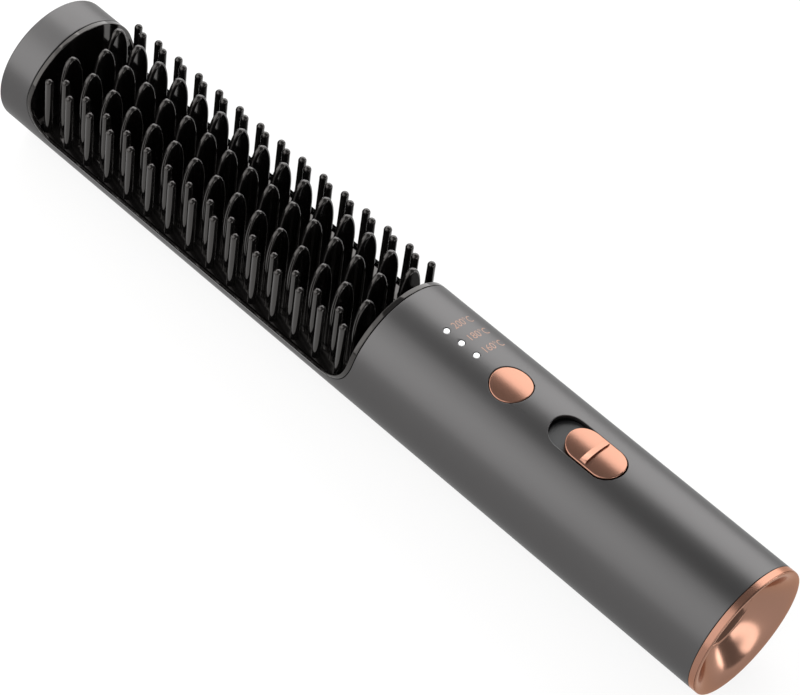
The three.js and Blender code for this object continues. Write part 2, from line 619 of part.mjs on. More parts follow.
// Capsule slider: top curved with the tube, one wedge rib, a neck that holds the lever
function slideKnob() {
  const under = TRAY_TOP + GAP;
  const proud = TUBE_RADIUS + SLIDER_PROUD;
  const capsule = slotPrism(SLIDER_LENGTH, SLIDER_WIDTH, under, proud + OPEN_END)
    .intersect(tubeBar(proud, -SLIDER_LENGTH, SLIDER_LENGTH));
  const step = SLIDER_LENGTH / 2 - RIB_BACK;
  const wedge = new THREE.Shape();
  wedge.moveTo(step - RIB_LENGTH, proud - RIB_ROOT);
  wedge.lineTo(step, proud - RIB_ROOT);
  wedge.lineTo(step, proud + RIB_HEIGHT);
  wedge.lineTo(step - RIB_LENGTH, proud + RIB_TOE);
  wedge.closePath();
  const rib = extrudeAcross(wedge, SLIDER_WIDTH - 2 * RIB_MARGIN)
    .intersect(tubeBar(proud + RIB_HEIGHT, -SLIDER_LENGTH, SLIDER_LENGTH));
  const neckFoot = SWITCH_TOP + GAP;
  const neck = blockBetween(
    [-NECK_SIZE[0] / 2, -NECK_SIZE[1] / 2, neckFoot],
    [NECK_SIZE[0] / 2, NECK_SIZE[1] / 2, under + SINK],
  );
  const fork = blockBetween(
    [-LEVER_SIZE[0] / 2 - GAP, -LEVER_SIZE[1] / 2 - GAP, neckFoot - OPEN_END],
    [LEVER_SIZE[0] / 2 + GAP, LEVER_SIZE[1] / 2 + GAP, LEVER_TOP + GAP],
  );
  return piece('slide_knob', cut(join(capsule, rib, neck), fork), ROSE_GOLD, SLIDER_PLACE, 0, 0);
}

// Slide switch on the board, its lever moved by the slider
function slideSwitch() {
  const bottom = BOARD_TOP + GAP;
  const [length, width, height] = SWITCH_SIZE;
  const reach = (LEVER_SIZE[0] + SLIDER_TRAVEL) / 2 + SLIDE_GAP;
  const side = LEVER_SIZE[1] / 2 + SLIDE_GAP;
  const channel = blockBetween(
    [-reach, -side, bottom + height / 2],
    [reach, side, SWITCH_TOP + OPEN_END],
  );
  const body = moved(block(length, width, height), 0, 0, bottom + height / 2);
  const leverFoot = bottom + height / 2 + GAP;
  return [
    piece('slide_switch', cut(body, channel), CHIP_BLACK, SLOT_PLACE, 0, 0),
    piece(
      'slide_lever', block(LEVER_SIZE[0], LEVER_SIZE[1], LEVER_TOP - leverFoot), FROSTED,
      SLIDER_PLACE, 0, (LEVER_TOP + leverFoot) / 2,
    ),
  ];
}

const screwPlaces = () => {
  const x = [BOARD_START + BOARD_SCREW_INSET, BOARD_START + BOARD_LENGTH - BOARD_SCREW_INSET];
  const y = BOARD_WIDTH / 2 - BOARD_SCREW_INSET;
  return x.flatMap((along) => [[along, -y], [along, y]]);
};

// Circuit board with its chips and level lights
function circuitBoard() {
  const plate = blockBetween(
    [BOARD_START, -BOARD_WIDTH / 2, BOARD_BOTTOM],
    [BOARD_START + BOARD_LENGTH, BOARD_WIDTH / 2, BOARD_TOP],
  );
  const hole = rod(SCREW_RADIUS + GAP, 4 * BOARD_THICKNESS, 12);
  const holes = screwPlaces().map(([x, y]) => moved(hole, x, y, BOARD_TOP));
  const seat = BOARD_TOP + GAP;
  const between = (BUTTON_PLACE + SLOT_PLACE) / 2;
  const leds = lightPlaces().map((x, i) =>
    piece(`level_led_${i + 1}`, block(...LED_SIZE), FROSTED, x, 0, seat + LED_SIZE[2] / 2));
  return [
    piece('main_board', cut(plate, ...holes), BOARD_GREEN),
    piece(
      'control_chip', block(...CHIP_SIZE), CHIP_BLACK,
      between, BOARD_WIDTH / 4, seat + CHIP_SIZE[2] / 2,
    ),
    piece(
      'charger_chip', block(...CHARGER_CHIP_SIZE), CHIP_BLACK,
      between, -BOARD_WIDTH / 4, seat + CHARGER_CHIP_SIZE[2] / 2,
    ),
    ...leds,
  ];
}

// Pan-head screw, its head resting on the board
function boardScrews() {
  const body = turn([
    [0, -SCREW_LENGTH],
    [SCREW_RADIUS, -SCREW_LENGTH],
    [SCREW_RADIUS, 0],
    [SCREW_HEAD_RADIUS, 0],
    [SCREW_HEAD_RADIUS, SCREW_HEAD_HEIGHT - SCREW_HEAD_BEVEL],
    [SCREW_HEAD_RADIUS - SCREW_HEAD_BEVEL, SCREW_HEAD_HEIGHT],
    [0, SCREW_HEAD_HEIGHT],
  ], 10);
  return screwPlaces().map(([x, y], i) =>
    piece(`board_screw_${i + 1}`, body, BRIGHT_METAL, x, y, BOARD_TOP + GAP));
}

// Lower half-shell that carries the board on ledges and the cell in two saddles
function innerChassis() {
  const length = CHASSIS_END - CHASSIS_START;
  const inside = INSERT_RADIUS - CHASSIS_WALL;
  const below = (body) => body.intersect(blockBetween(
    [-OPEN_END, -TUBE_RADIUS, -TUBE_RADIUS], [length + OPEN_END, TUBE_RADIUS, CHASSIS_TOP],
  ));
  const hollow = tubeBar(inside, -OPEN_END, length + OPEN_END);
  const shell = below(cut(tubeBar(INSERT_RADIUS, 0, length), hollow));
  const sunk = tubeBar(INSERT_RADIUS - SINK, -OPEN_END, length + OPEN_END);
  const ledgeEdge = BOARD_WIDTH / 2 - BOARD_SEAT;
  const ledges = [-1, 1].map((side) => {
    const near = side * ledgeEdge;
    const far = side * TUBE_RADIUS;
    return blockBetween(
      [0, Math.min(near, far), CHASSIS_TOP - CHASSIS_WALL],
      [length, Math.max(near, far), CHASSIS_TOP],
    ).intersect(sunk);
  });
  const saddles = [BATTERY_START + SADDLE_LENGTH, BATTERY_END - 2 * SADDLE_LENGTH].map((x) =>
    sunk.intersect(blockBetween(
      [x - CHASSIS_START, -TUBE_RADIUS, -TUBE_RADIUS],
      [x - CHASSIS_START + SADDLE_LENGTH, TUBE_RADIUS, BATTERY_AXIS],
    )));
  const cell = moved(longRod(BATTERY_RADIUS + GAP, 4 * BATTERY_LENGTH, 24), 0, 0, BATTERY_AXIS);
  const screwTip = BOARD_TOP + GAP - SCREW_LENGTH;
  const bossFoot = screwTip - GAP - BOSS_FLOOR;
  const bosses = screwPlaces().map(([x, y]) => moved(
    rod(BOSS_RADIUS, CHASSIS_TOP - bossFoot, 14),
    x + WINDOW_END - CHASSIS_START, y, (CHASSIS_TOP + bossFoot) / 2,
  ));
  const pilots = screwPlaces().map(([x, y]) => moved(
    rod(SCREW_RADIUS + GAP, SCREW_LENGTH + GAP, 12),
    x + WINDOW_END - CHASSIS_START, y, screwTip - GAP + (SCREW_LENGTH + GAP) / 2,
  ));
  const body = cut(join(cut(join(shell, ...saddles), cell), ...ledges, ...bosses), ...pilots);
  return piece('inner_chassis', body, CHASSIS_PLASTIC, CHASSIS_START, 0, 0);
}

// Rechargeable cell and the welded strips at its two ends
function battery() {
  const cell = revolve([
    [0, 0],
    [0, BATTERY_RADIUS - BATTERY_EDGE],
    [BATTERY_EDGE, BATTERY_RADIUS],
    [BATTERY_LENGTH, BATTERY_RADIUS],
    [BATTERY_LENGTH, BATTERY_CAP_RADIUS],
    [BATTERY_LENGTH + BATTERY_CAP_HEIGHT, BATTERY_CAP_RADIUS],
    [BATTERY_LENGTH + BATTERY_CAP_HEIGHT, 0],
  ], 24);
  const height = BATTERY_RADIUS + BATTERY_CAP_RADIUS;
  const strip = block(TAB_THICKNESS, TAB_WIDTH, height);
  const lift = BATTERY_AXIS + height / 2 - BATTERY_CAP_RADIUS;
  return [
    piece('battery_cell', cell, CELL_WRAP, BATTERY_START, 0, BATTERY_AXIS),
    piece('battery_tab_minus', strip, BRIGHT_METAL, BATTERY_START - GAP - TAB_THICKNESS / 2, 0, lift),
    piece(
      'battery_tab_plus', strip, BRIGHT_METAL,
      BATTERY_END + BATTERY_CAP_HEIGHT + GAP + TAB_THICKNESS / 2, 0, lift,
    ),
  ];
}

// Polished end cap: thin band, bevel, spherical dish and a round well in its middle
function tailCap() {
  const face = TOTAL_LENGTH;
  const back = CAP_SEAM + SEAM;
  const spigotEnd = CAP_SEAM - CAP_SPIGOT_LENGTH;
  const spigotInside = INSERT_RADIUS - CAP_SPIGOT_WALL;
  const wellOutside = WELL_RADIUS + WELL_WALL;
  const wellEnd = WELL_FLOOR - PLATE_THICKNESS - WELL_WALL;
  const shelf = WELL_EDGE - CAP_SPIGOT_WALL;
  const groove = CAP_SEAM - CAP_SPIGOT_LENGTH / 2;
  const deep = 2 * SEAL_SECTION;
  const dish = [];
  const steps = 4;
  for (let i = 0; i <= steps; i++) {
    const radius = DISH_EDGE_RADIUS + (WELL_RADIUS - DISH_EDGE_RADIUS) * (i / steps);
    dish.push([face - dishDepth(radius), radius]);
  }
  return piece('tail_cap', revolve([
    [spigotEnd, spigotInside],
    [spigotEnd, INSERT_RADIUS],
    [groove - deep, INSERT_RADIUS],
    [groove - deep, INSERT_RADIUS - deep / 2],
    [groove + deep, INSERT_RADIUS - deep / 2],
    [groove + deep, INSERT_RADIUS],
    [back, INSERT_RADIUS],
    [back, TUBE_RADIUS],
    [face - CAP_BEVEL, TUBE_RADIUS],
    [face, FACE_RADIUS],
    ...dish,
    [wellEnd, WELL_RADIUS],
    [wellEnd, wellOutside],
    [shelf, wellOutside],
    [shelf + (back - shelf) / 2, spigotInside],
    [spigotEnd, spigotInside],
  ]), ROSE_GOLD);
}

// Rubber ring in the spigot's groove
function tailSeal() {
  const centre = INSERT_RADIUS - SEAL_SECTION / 2;
  const half = SEAL_SECTION / 2;
  const ring = [];
  const sides = 5;
  for (let i = 0; i <= sides; i++) {
    const turned = ((i % sides) / sides) * 2 * Math.PI;
    ring.push([
      CAP_SEAM - CAP_SPIGOT_LENGTH / 2 + half * Math.cos(turned),
      centre + GAP / 2 + (half - GAP / 2) * Math.sin(turned),
    ]);
  }
  return piece('tail_seal', revolve(ring, 24), RUBBER);
}

// A bar of the socket's outline, grown all round, along the tube from x = 0
const socketBar = (grown, length) =>
  extrudeAlong(stadium(SOCKET_WIDTH + 2 * grown, SOCKET_HEIGHT + 2 * grown), length, 6);

// Well floor plate, the socket that comes through it and the little board behind
function chargingPort() {
  const opening = moved(socketBar(GAP, 4 * SOCKET_DEPTH), -2 * SOCKET_DEPTH, 0, 0);
  const disc = longRod(WELL_RADIUS - GAP, PLATE_THICKNESS, 28);
  const front = WELL_FLOOR - GAP;
  const start = front - SOCKET_DEPTH;
  const inner = moved(socketBar(-SOCKET_WALL, SOCKET_DEPTH), SOCKET_BACK, 0, 0);
  const boardTop = -SOCKET_HEIGHT / 2 - GAP;
  return [
    piece('port_plate', cut(disc, opening), DARK_PLASTIC, WELL_FLOOR - PLATE_THICKNESS / 2, 0, 0),
    piece('socket_shell', cut(socketBar(0, SOCKET_DEPTH), inner), BRIGHT_METAL, start, 0, 0),
    piece(
      'socket_tongue', block(TONGUE_LENGTH, TONGUE_WIDTH, TONGUE_THICKNESS), CHIP_BLACK,
      start + SOCKET_BACK + GAP + TONGUE_LENGTH / 2, 0, 0,
    ),
    piece(
      'port_board', block(PORT_BOARD_LENGTH, PORT_BOARD_WIDTH, PORT_BOARD_THICKNESS), BOARD_GREEN,
      WELL_FLOOR - PLATE_THICKNESS - GAP - PORT_BOARD_LENGTH / 2, 0, boardTop - PORT_BOARD_THICKNESS / 2,
    ),
  ];
}

// A wire: round section swept along a smooth curve through its points
function wire(name, material, points, steps = 12) {
  const section = new THREE.Shape(Array.from({ length: WIRE_SIDES }, (_, i) => {
    const turned = (i / WIRE_SIDES) * 2 * Math.PI;
    return new THREE.Vector2(WIRE_RADIUS * Math.cos(turned), WIRE_RADIUS * Math.sin(turned));
  }));
  const path = new THREE.CatmullRomCurve3(points.map((p) => new THREE.Vector3(...p)));
  return piece(name, solid(new THREE.ExtrudeGeometry(section, { extrudePath: path, steps })), material);
}

// Heater wires come through the frame's end wall, the others stay in the handle
function wires() {
  const aside = 1.4 * WIRE_RADIUS;
  const under = BOARD_BOTTOM - 2 * GAP - WIRE_RADIUS;
  const heaterEnd = COMB_START + COMB_LENGTH + RAIL_OVERHANG - ROW_PITCH / 2;
  const rise = CHASSIS_START + ROW_PITCH;
  const heater = (side) => [
    [heaterEnd, side * aside, WIRE_HEIGHT],
    [WINDOW_END, side * aside, WIRE_HEIGHT],
    [rise, side * aside, WIRE_HEIGHT + WIRE_DIP],
    [rise + ROW_PITCH, side * 3 * aside, under - WIRE_DIP],
    [rise + 2 * ROW_PITCH, side * 3 * aside, under],
  ];
  const tabTop = BATTERY_AXIS + BATTERY_RADIUS + GAP;
  const minus = BATTERY_START - GAP - TAB_THICKNESS / 2;
  const plus = BATTERY_END + BATTERY_CAP_HEIGHT + GAP + TAB_THICKNESS / 2;
  const boardEnd = WINDOW_END + BOARD_START + BOARD_LENGTH;
  const middle = (tabTop + under) / 2;
  const overCell = (tabTop + WIRE_RADIUS + under) / 2;
  const portTop = -SOCKET_HEIGHT / 2 + WIRE_RADIUS;
  const portStart = WELL_FLOOR - PLATE_THICKNESS - GAP - PORT_BOARD_LENGTH;
  const portSide = SOCKET_WIDTH / 2 + 2 * WIRE_RADIUS;
  const soldered = boardEnd - 2 * WIRE_END;
  const port = (side) => [
    [portStart + WIRE_END, side * portSide, portTop],
    [portStart, side * portSide, portTop + WIRE_RADIUS],
    [portStart - WIRE_END, side * portSide, middle],
    [boardEnd, side * 4 * WIRE_RADIUS, overCell],
    [soldered, side * 4 * WIRE_RADIUS, under],
  ];
  return [
    wire('heater_wire_left', RED_WIRE, heater(-1)),
    wire('heater_wire_right', RED_WIRE, heater(1)),
    wire('cell_wire_minus', BLACK_WIRE, [
      [minus, 0, tabTop],
      [minus - WIRE_END / 2, 0, middle],
      [minus - 2 * WIRE_END, 0, under],
    ], 6),
    wire('cell_wire_plus', RED_WIRE, [
      [plus, 0, tabTop],
      [plus - WIRE_END / 2, 0, middle + WIRE_RADIUS],
      [boardEnd, 0, overCell],
      [soldered, 0, under],
    ], 10),
    wire('port_wire_left', BLACK_WIRE, port(-1)),
    wire('port_wire_right', RED_WIRE, port(1)),
  ];
}

const group = (x, ...children) => {
  const place = new THREE.Group();
  place.position.x = x;
  place.add(...children.flat());
  return place;
};

const comb = group(
  COMB_START,
  bladeStrip('blade_strip_left', ROWS, 0, SIDE_BLADE_TIP, -1),
  bladeStrip('blade_strip_middle', ROWS - 1, ROW_PITCH / 2, MIDDLE_BLADE_TIP, 0),
  bladeStrip('blade_strip_right', ROWS, 0, SIDE_BLADE_TIP, 1),
  bristleStrip('bristle_strip_left', -1),
  bristleStrip('bristle_strip_right', 1),
  heaterStack(),
);

const controls = group(
  WINDOW_END,
  lightGuide(),
  powerButton(),
  tactSwitch(),
  slideTray(),
  slideKnob(),
  slideSwitch(),
  circuitBoard(),
  boardScrews(),
);

const brush = new THREE.Group();
brush.position.set(-TOTAL_LENGTH / 2, 0, FACE_HEIGHT);
brush.add(
  housingTube(),
  combFrame(),
  comb,
  controls,
  innerChassis(),
  ...battery(),
  ...wires(),
  tailCap(),
  tailSeal(),
  ...chargingPort(),
);

export default brush;
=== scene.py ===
"""Heated straightening brush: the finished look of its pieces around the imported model."""

import math

import bmesh
import bpy
from bpy.props import FloatProperty, FloatVectorProperty, IntProperty, PointerProperty
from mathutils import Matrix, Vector


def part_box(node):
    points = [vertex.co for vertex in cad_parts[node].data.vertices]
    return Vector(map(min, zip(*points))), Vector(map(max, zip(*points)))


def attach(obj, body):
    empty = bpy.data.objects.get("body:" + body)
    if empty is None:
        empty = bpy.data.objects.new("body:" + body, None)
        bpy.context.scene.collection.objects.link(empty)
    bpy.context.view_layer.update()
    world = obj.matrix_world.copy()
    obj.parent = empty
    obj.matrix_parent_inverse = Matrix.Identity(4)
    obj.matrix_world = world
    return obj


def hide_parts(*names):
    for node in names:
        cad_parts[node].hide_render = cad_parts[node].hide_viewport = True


bl_info = {
    "name": "Heated Straightening Brush",
    "version": (1, 0, 0),
    "blender": (4, 5, 0),
    "location": "3D View > Sidebar > Brush",
    "description": "Models and finishes the visible pieces of a heated straightening brush",
    "category": "Object",
}

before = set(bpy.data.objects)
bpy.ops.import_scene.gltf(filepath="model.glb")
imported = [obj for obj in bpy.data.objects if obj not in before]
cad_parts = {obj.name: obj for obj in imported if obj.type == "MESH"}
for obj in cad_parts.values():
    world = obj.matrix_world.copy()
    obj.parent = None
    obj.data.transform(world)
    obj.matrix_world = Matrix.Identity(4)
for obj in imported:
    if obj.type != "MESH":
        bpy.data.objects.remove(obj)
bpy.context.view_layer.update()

MM = 0.001

# Places along, across and above the tube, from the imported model
tube_low, tube_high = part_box("housing_tube")
RADIUS = (tube_high.y - tube_low.y) / 2
AXIS = tube_low.z + RADIUS
NOSE = tube_low.x
TUBE_END = tube_high.x
frame_low, frame_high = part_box("comb_frame")
END_WALL = 3.0 * MM
WINDOW_START = frame_low.x + END_WALL
WINDOW_END = frame_high.x - END_WALL
INSERT_RADIUS = AXIS - frame_low.z
rail_low, rail_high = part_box("blade_strip_left")
pins_low, pins_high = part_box("bristle_strip_right")
RAIL_OVERHANG = 1.5 * MM
FIRST_ROW = rail_low.x + RAIL_OVERHANG
LAST_ROW = rail_high.x - RAIL_OVERHANG
button_low, button_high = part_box("power_button")
slider_low, slider_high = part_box("slide_knob")
tray_low, tray_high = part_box("slide_tray")
guide_low, guide_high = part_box("light_guide")
cap_low, cap_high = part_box("tail_cap")
plate_low, plate_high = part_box("port_plate")
shell_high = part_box("socket_shell")[1]
BUTTON_PLACE = (button_low.x + button_high.x) / 2
SLOT_PLACE = (tray_low.x + tray_high.x) / 2

# How finely the shapes are made
TUBE_SIDES = 168           # keeps the rounded side edges of the holes within one flat side
BUTTON_SIDES = 128
ROUND_SIDES = 96
SMALL_SIDES = 48
PIN_SIDES = 24
SMOOTH = 40                # degrees; edges up to this angle are shaded smooth
STRIP = 0.4 * MM           # width of the strips that follow the tube's curve
RING = 7.9 * MM            # spacing of the edges round the long tube
TINY = 0.002 * MM          # points nearer than this are one point
HAIR = TINY / 10           # points nearer to a new cut than this are on it
FACING = 0.9               # share of a direction from which it counts as along an axis
REACH = 60 * MM            # cutting shapes run this far past the tube
OVERLAP = 1 * MM           # shapes to be joined or cut reach this far into each other

# Small details that nobody would change
MOULDED_EDGE = 0.15 * MM   # rounding of the dark mouldings
LENS_EDGE = 0.08 * MM      # rounding of the lights
LENS_DEPTH = 0.02 * MM     # lights below the tube's surface
RIB_EDGE = 0.09 * MM       # rounding of the slider's wedge
BAND_SKIN = 0.02 * MM      # faces this near the cap's outside belong to its band
GUIDE_END = 1.5 * MM       # light bar beyond the outer lights
INK = 0.008 * MM           # thickness of the printed ink
CAPITAL = 0.7              # height of a capital, as a share of the letter size
STROKE = -0.010            # strokes drawn thinner, as a share of the letter size
LEVELS = (200, 180, 160)   # temperatures at the lights, from the comb on
DEGREE = "\u00b0"
CLOUD = 60                 # a broad patch of colour is this many grains wide


def linear(code):
    """Turn an sRGB hex colour into linear red, green and blue."""
    parts = [int(code[i:i + 2], 16) / 255 for i in (1, 3, 5)]
    return [v / 12.92 if v <= 0.04045 else ((v + 0.055) / 1.055) ** 2.4 for v in parts]


def length(name, description, millimetres):
    """A size property, kept in metres."""
    return FloatProperty(
        name=name, description=description, default=millimetres * MM, min=0.0,
        unit="LENGTH", subtype="DISTANCE", precision=5,
    )


def colour(name, description, code):
    """A colour property from its sRGB hex value."""
    return FloatVectorProperty(
        name=name, description=description, default=linear(code), size=3,
        min=0.0, max=1.0, subtype="COLOR",
    )


class BrushSizes(bpy.types.PropertyGroup):
    """Sizes of the visible pieces."""

    tube_wall: length("Tube wall", "Thickness of the metal tube", 1.4)
    nose_depth: length("Nose edge depth", "Rounding of the closed end, along the tube", 1.0)
    nose_width: length("Nose edge width", "Rounding of the closed end, across the tube", 2.9)
    window_sill: length("Window sill", "Window's long edges below the tube's axis", 5.0)
    window_corner: length("Window corner", "Corner radius of the window", 11.5)
    gap: length("Gap", "Clearance between two seated pieces", 0.3)
    hair_gap: length("Fine gap", "Clearance that shows round a flush piece", 0.14)
    rim_width: length("Rim width", "Width of the black rim at the window's ends", 1.6)
    rim_side: length("Rim side", "Height of the black rim along the window's sides", 0.95)
    rim_depth: length("Rim depth", "Thickness of the black rim", 0.9)
    bed_depth: length("Comb floor", "Comb floor below the tube's axis", 3.2)
    bed_drop: length("Floor drop", "Fall of the comb floor towards the rim", 0.8)
    bed_fillet: length("Floor fillet", "Rounding between the comb floor and its end walls", 4.5)
    blade_width: length("Blade width", "Width of one blade across the comb", 7.8)
    blade_thickness: length("Blade thickness", "Thickness of one blade along the comb", 1.8)
    blade_edge: length("Blade edge", "Rounding of a blade's outline", 0.82)
    blade_arch: length("Blade arch", "Height of a blade's elliptical upper part", 10.6)
    blade_reach: length("Blade reach", "Blade tips above their plain solids", 0.7)
    pin_root: length("Pin root", "Radius of a pin at the comb floor", 1.24)
    pin_stem: length("Pin stem", "Radius of a pin below its ball", 1.12)
    pin_ball: length("Pin ball", "Radius of the ball at a pin's tip", 1.14)
    inner_pin_place: length("Inner pins", "Inner pins beyond the side blades' rail", 1.55)
    pin_inset: length("Outer pins", "Outer pins in from the edge of the floor", 1.4)
    outer_pin_drop: length("Outer pin drop", "Outer pins' tips below the inner pins' tips", 1.4)
    button_radius: length("Button radius", "Radius of the power button", 5.7)
    light_radius: length("Light radius", "Radius of a level light", 0.81)
    light_ring: length("Light ring", "Dark ring round a level light", 0.14)
    edge: length("Edge", "Rounding of a metal edge", 0.22)
    key_edge: length("Key edge", "Bright chamfer round the button and the slider", 0.28)
    slot_length: length("Slot length", "Length of the slider's slot", 23.2)
    slot_width: length("Slot width", "Width of the slider's slot", 10.8)
    slider_proud: length("Slider height", "Slider above the tube", 0.35)
    rib_length: length("Rib length", "Length of the slider's wedge", 1.9)
    rib_back: length("Rib place", "Wedge's step to the slider's tail end", 8.2)
    rib_margin: length("Rib margin", "Wedge's ends to the slider's sides", 0.15)
    rib_lip: length("Rib lip", "Wedge's low side above the slider", 0.3)
    rib_crest: length("Rib height", "Wedge's high side above the slider", 0.75)
    rib_slant: length("Rib slant", "Slope of the wedge's two ends", 0.8)
    slider_skirt: length("Slider side", "Height of the slider's upright side", 2.2)
    seam: length("Cap seam", "Hairline between the tube and its cap", 0.08)
    cap_groove: length("Cap groove", "Fine groove between the band and the lip", 0.12)
    cap_bevel: length("Cap lip", "Rounded lip round the cap's face", 0.24)
    dish_depth: length("Dish depth", "Depth of the cap's polished hollow", 6.6)
    dish_start: FloatProperty(name="Dish start", description="Slope at the lip", default=0.03)
    dish_end: FloatProperty(name="Dish end", description="Slope at the well", default=0.7)
    well_radius: length("Well mouth", "Radius of the charging well's mouth", 9.6)
    well_draft: length("Well draft", "Well's mouth wider than its floor", 1.0)
    band_more: length("Band reach", "Cap's band further over the tube than on the plain solid", 0.35)
    letter_height: length("Figure height", "Height of the printed temperatures", 2.3)
    mark_width: length("Mark width", "Width of one printed temperature", 7.4)
    mark_start: length("Mark start", "Start of a temperature beside its light", 2.15)
    mark_base: length("Mark base", "Foot of the figures behind their light", 1.15)
    rows: IntProperty(name="Rows", description="Full rows of the comb", default=15, min=2)


class BrushColours(bpy.types.PropertyGroup):
    """Colours of the visible finishes."""

    tube_grey: colour("Tube", "Satin anodised grey", "#575656")
    gloss_black: colour("Comb", "Polished black moulding", "#0b0a0a")
    rose_gold: colour("Rose gold", "Satin button, slider and band", "#9c7362")
    # The dish uses the same plating as the band but a slightly darker colour: painted shade that dims the
    # dish's reflections.
    dish_gold: colour("Dish", "Polished hollow of the cap", "#957161")
    recess_grey: colour("Recess", "Dark moulding in the slot and the well", "#1d1e1f")
    print_copper: colour("Print", "Temperatures printed on the tube", "#a9826f")
    floor_white: colour("Floor", "Plain pale floor", "#f4f3f2")


def sizes():
    """The sizes set for this scene."""
    return bpy.context.scene.brush_sizes


def colours():
    """The colours set for this scene."""
    return bpy.context.scene.brush_colours


def apply_place():
    """Put the place, turn and scale of the chosen object into its mesh."""
    bpy.ops.object.transform_apply(location=True, rotation=True, scale=True)


def settle(name):
    """Name the new object and put its place into its mesh."""
    piece = bpy.context.object
    piece.name = name
    piece.data.name = name
    apply_place()
    return piece


def drop_choice():
    """Deselect every object."""
    bpy.ops.object.select_all(action="DESELECT")


def choose(*pieces):
    """Select these objects and no others; the last one is active."""
    drop_choice()
    for piece in pieces:
        piece.select_set(True)
    bpy.context.view_layer.objects.active = pieces[-1]


def edit(piece):
    """Open one object in edit mode with nothing selected in it."""
    choose(piece)
    bpy.ops.object.mode_set(mode="EDIT")
    bpy.ops.mesh.select_all(action="DESELECT")


def leave():
    """Back to object mode."""
    bpy.ops.object.mode_set(mode="OBJECT")


def take_all():
    """Select the whole open mesh."""
    bpy.ops.mesh.select_all(action="SELECT")


def weld():
    """Merge the points that coincide; all stays selected."""
    take_all()
    bpy.ops.mesh.remove_doubles(threshold=TINY)


def face_outwards():
    """Turn all faces outwards."""
    take_all()
    bpy.ops.mesh.normals_make_consistent(inside=False)


def cut_all(place, way, **options):
    """Cut new edges along a plane through the whole open mesh."""
    take_all()
    bpy.ops.mesh.bisect(plane_co=place, plane_no=way, threshold=HAIR, **options)


def pick_faces(piece, test):
    """Select the faces whose centre and normal pass a test."""
    bpy.ops.mesh.select_mode(type="FACE")
    bpy.ops.mesh.select_all(action="DESELECT")
    mesh = bmesh.from_edit_mesh(piece.data)
    for face in mesh.faces:
        face.select_set(test(face.calc_center_median(), face.normal))
    bmesh.update_edit_mesh(piece.data)


def pick_edges(piece, test):
    """Select the edges whose middle and direction pass a test."""
    bpy.ops.mesh.select_mode(type="EDGE")
    bpy.ops.mesh.select_all(action="DESELECT")
    mesh = bmesh.from_edit_mesh(piece.data)
    for line in mesh.edges:
        first, second = (end.co for end in line.verts)
        line.select_set(test((first + second) / 2, (second - first).normalized()))
    bmesh.update_edit_mesh(piece.data)


def bar(name, radius, low, high, sides=TUBE_SIDES):
    """A round bar on the tube's axis between two places."""
    drop_choice()
    bpy.ops.mesh.primitive_cylinder_add(
        vertices=sides, radius=radius, depth=high - low,
        location=((low + high) / 2, 0, AXIS), rotation=(0, math.pi / 2, 0),
    )
    return settle(name)


def post(name, radius, middle, low, high, sides=ROUND_SIDES):
    """An upright round post over the tube's centre line."""
    drop_choice()
    bpy.ops.mesh.primitive_cylinder_add(
        vertices=sides, radius=radius, depth=high - low, location=(middle, 0, (low + high) / 2),
    )
    return settle(name)


def block(name, low, high):
    """A block between two corners."""
    low, high = Vector(low), Vector(high)
    drop_choice()
    bpy.ops.mesh.primitive_cube_add(size=1, location=(low + high) / 2, scale=high - low)
    return settle(name)


def centred(name, size, middle, low, high):
    """A block over the tube's centre line."""
    long, wide = size
    return block(name, (middle - long / 2, -wide / 2, low), (middle + long / 2, wide / 2, high))


def round_picked(radius, segments):
    """Round the selected edges to a radius."""
    bpy.ops.mesh.bevel(offset=radius, segments=segments, affect="EDGES", clamp_overlap=False)


def stadium(name, size, middle, low, high, segments=24):
    """An upright prism with two round ends, centred over the tube."""
    prism = centred(name, size, middle, low, high)
    edit(prism)
    pick_edges(prism, lambda at, way: abs(way.z) > FACING)
    round_picked(size[1] / 2, segments)
    weld()
    leave()
    return prism


def tray_cut(name, low, high, bottom, corner, segments=24):
    """A cut right across the tube, open at the top, with two rounded lower corners."""
    prism = block(name, (low, -REACH, bottom), (high, REACH, AXIS + REACH))
    edit(prism)
    pick_edges(prism, lambda at, way: abs(way.y) > FACING and at.z < bottom + TINY)
    round_picked(corner, segments)
    leave()
    return prism


def window_cut(name, inset):
    """The window's own cut, moved in from its edge."""
    size = sizes()
    return tray_cut(
        name, WINDOW_START + inset, WINDOW_END - inset,
        AXIS - size.window_sill + inset, size.window_corner - inset,
    )


def combine(piece, tool, how):
    """Join, cut or trim a piece with another shape, which is then used up."""
    choose(piece)
    modifier = piece.modifiers.new(how.title(), "BOOLEAN")
    modifier.operation = how
    modifier.solver = "EXACT"
    modifier.object = tool
    bpy.ops.object.modifier_apply(modifier=modifier.name)
    bpy.data.objects.remove(tool)


def slices(piece, places, way):
    """Cut new edges right across a piece at these places along one axis."""
    edit(piece)
    way = Vector(way)
    for place in places:
        cut_all(way * place, way)
    leave()


def follow_tube(piece, level, radius):
    """Let all that lies above a level fall away to both sides as a round bar does."""
    reach = math.ceil(max(abs(point.co.y) for point in piece.data.vertices) / STRIP)
    slices(piece, [(step + 0.5) * STRIP for step in range(-reach, reach)], (0, 1, 0))
    edit(piece)
    mesh = bmesh.from_edit_mesh(piece.data)
    for point in mesh.verts:
        if point.co.z > level:
            point.co.z -= radius - math.sqrt(radius ** 2 - point.co.y ** 2)
    bmesh.update_edit_mesh(piece.data)
    leave()


def soften(piece, width, segments=3, angle=35):
    """Round every sharp edge, and let the large faces lead the shading."""
    choose(piece)
    rounding = piece.modifiers.new("Rounding", "BEVEL")
    rounding.width = width
    rounding.segments = segments
    rounding.limit_method = "ANGLE"
    rounding.angle_limit = math.radians(angle)
    rounding.use_clamp_overlap = False
    rounding.miter_outer = "MITER_ARC"
    bpy.ops.object.modifier_apply(modifier=rounding.name)
    lead_by_area(piece)


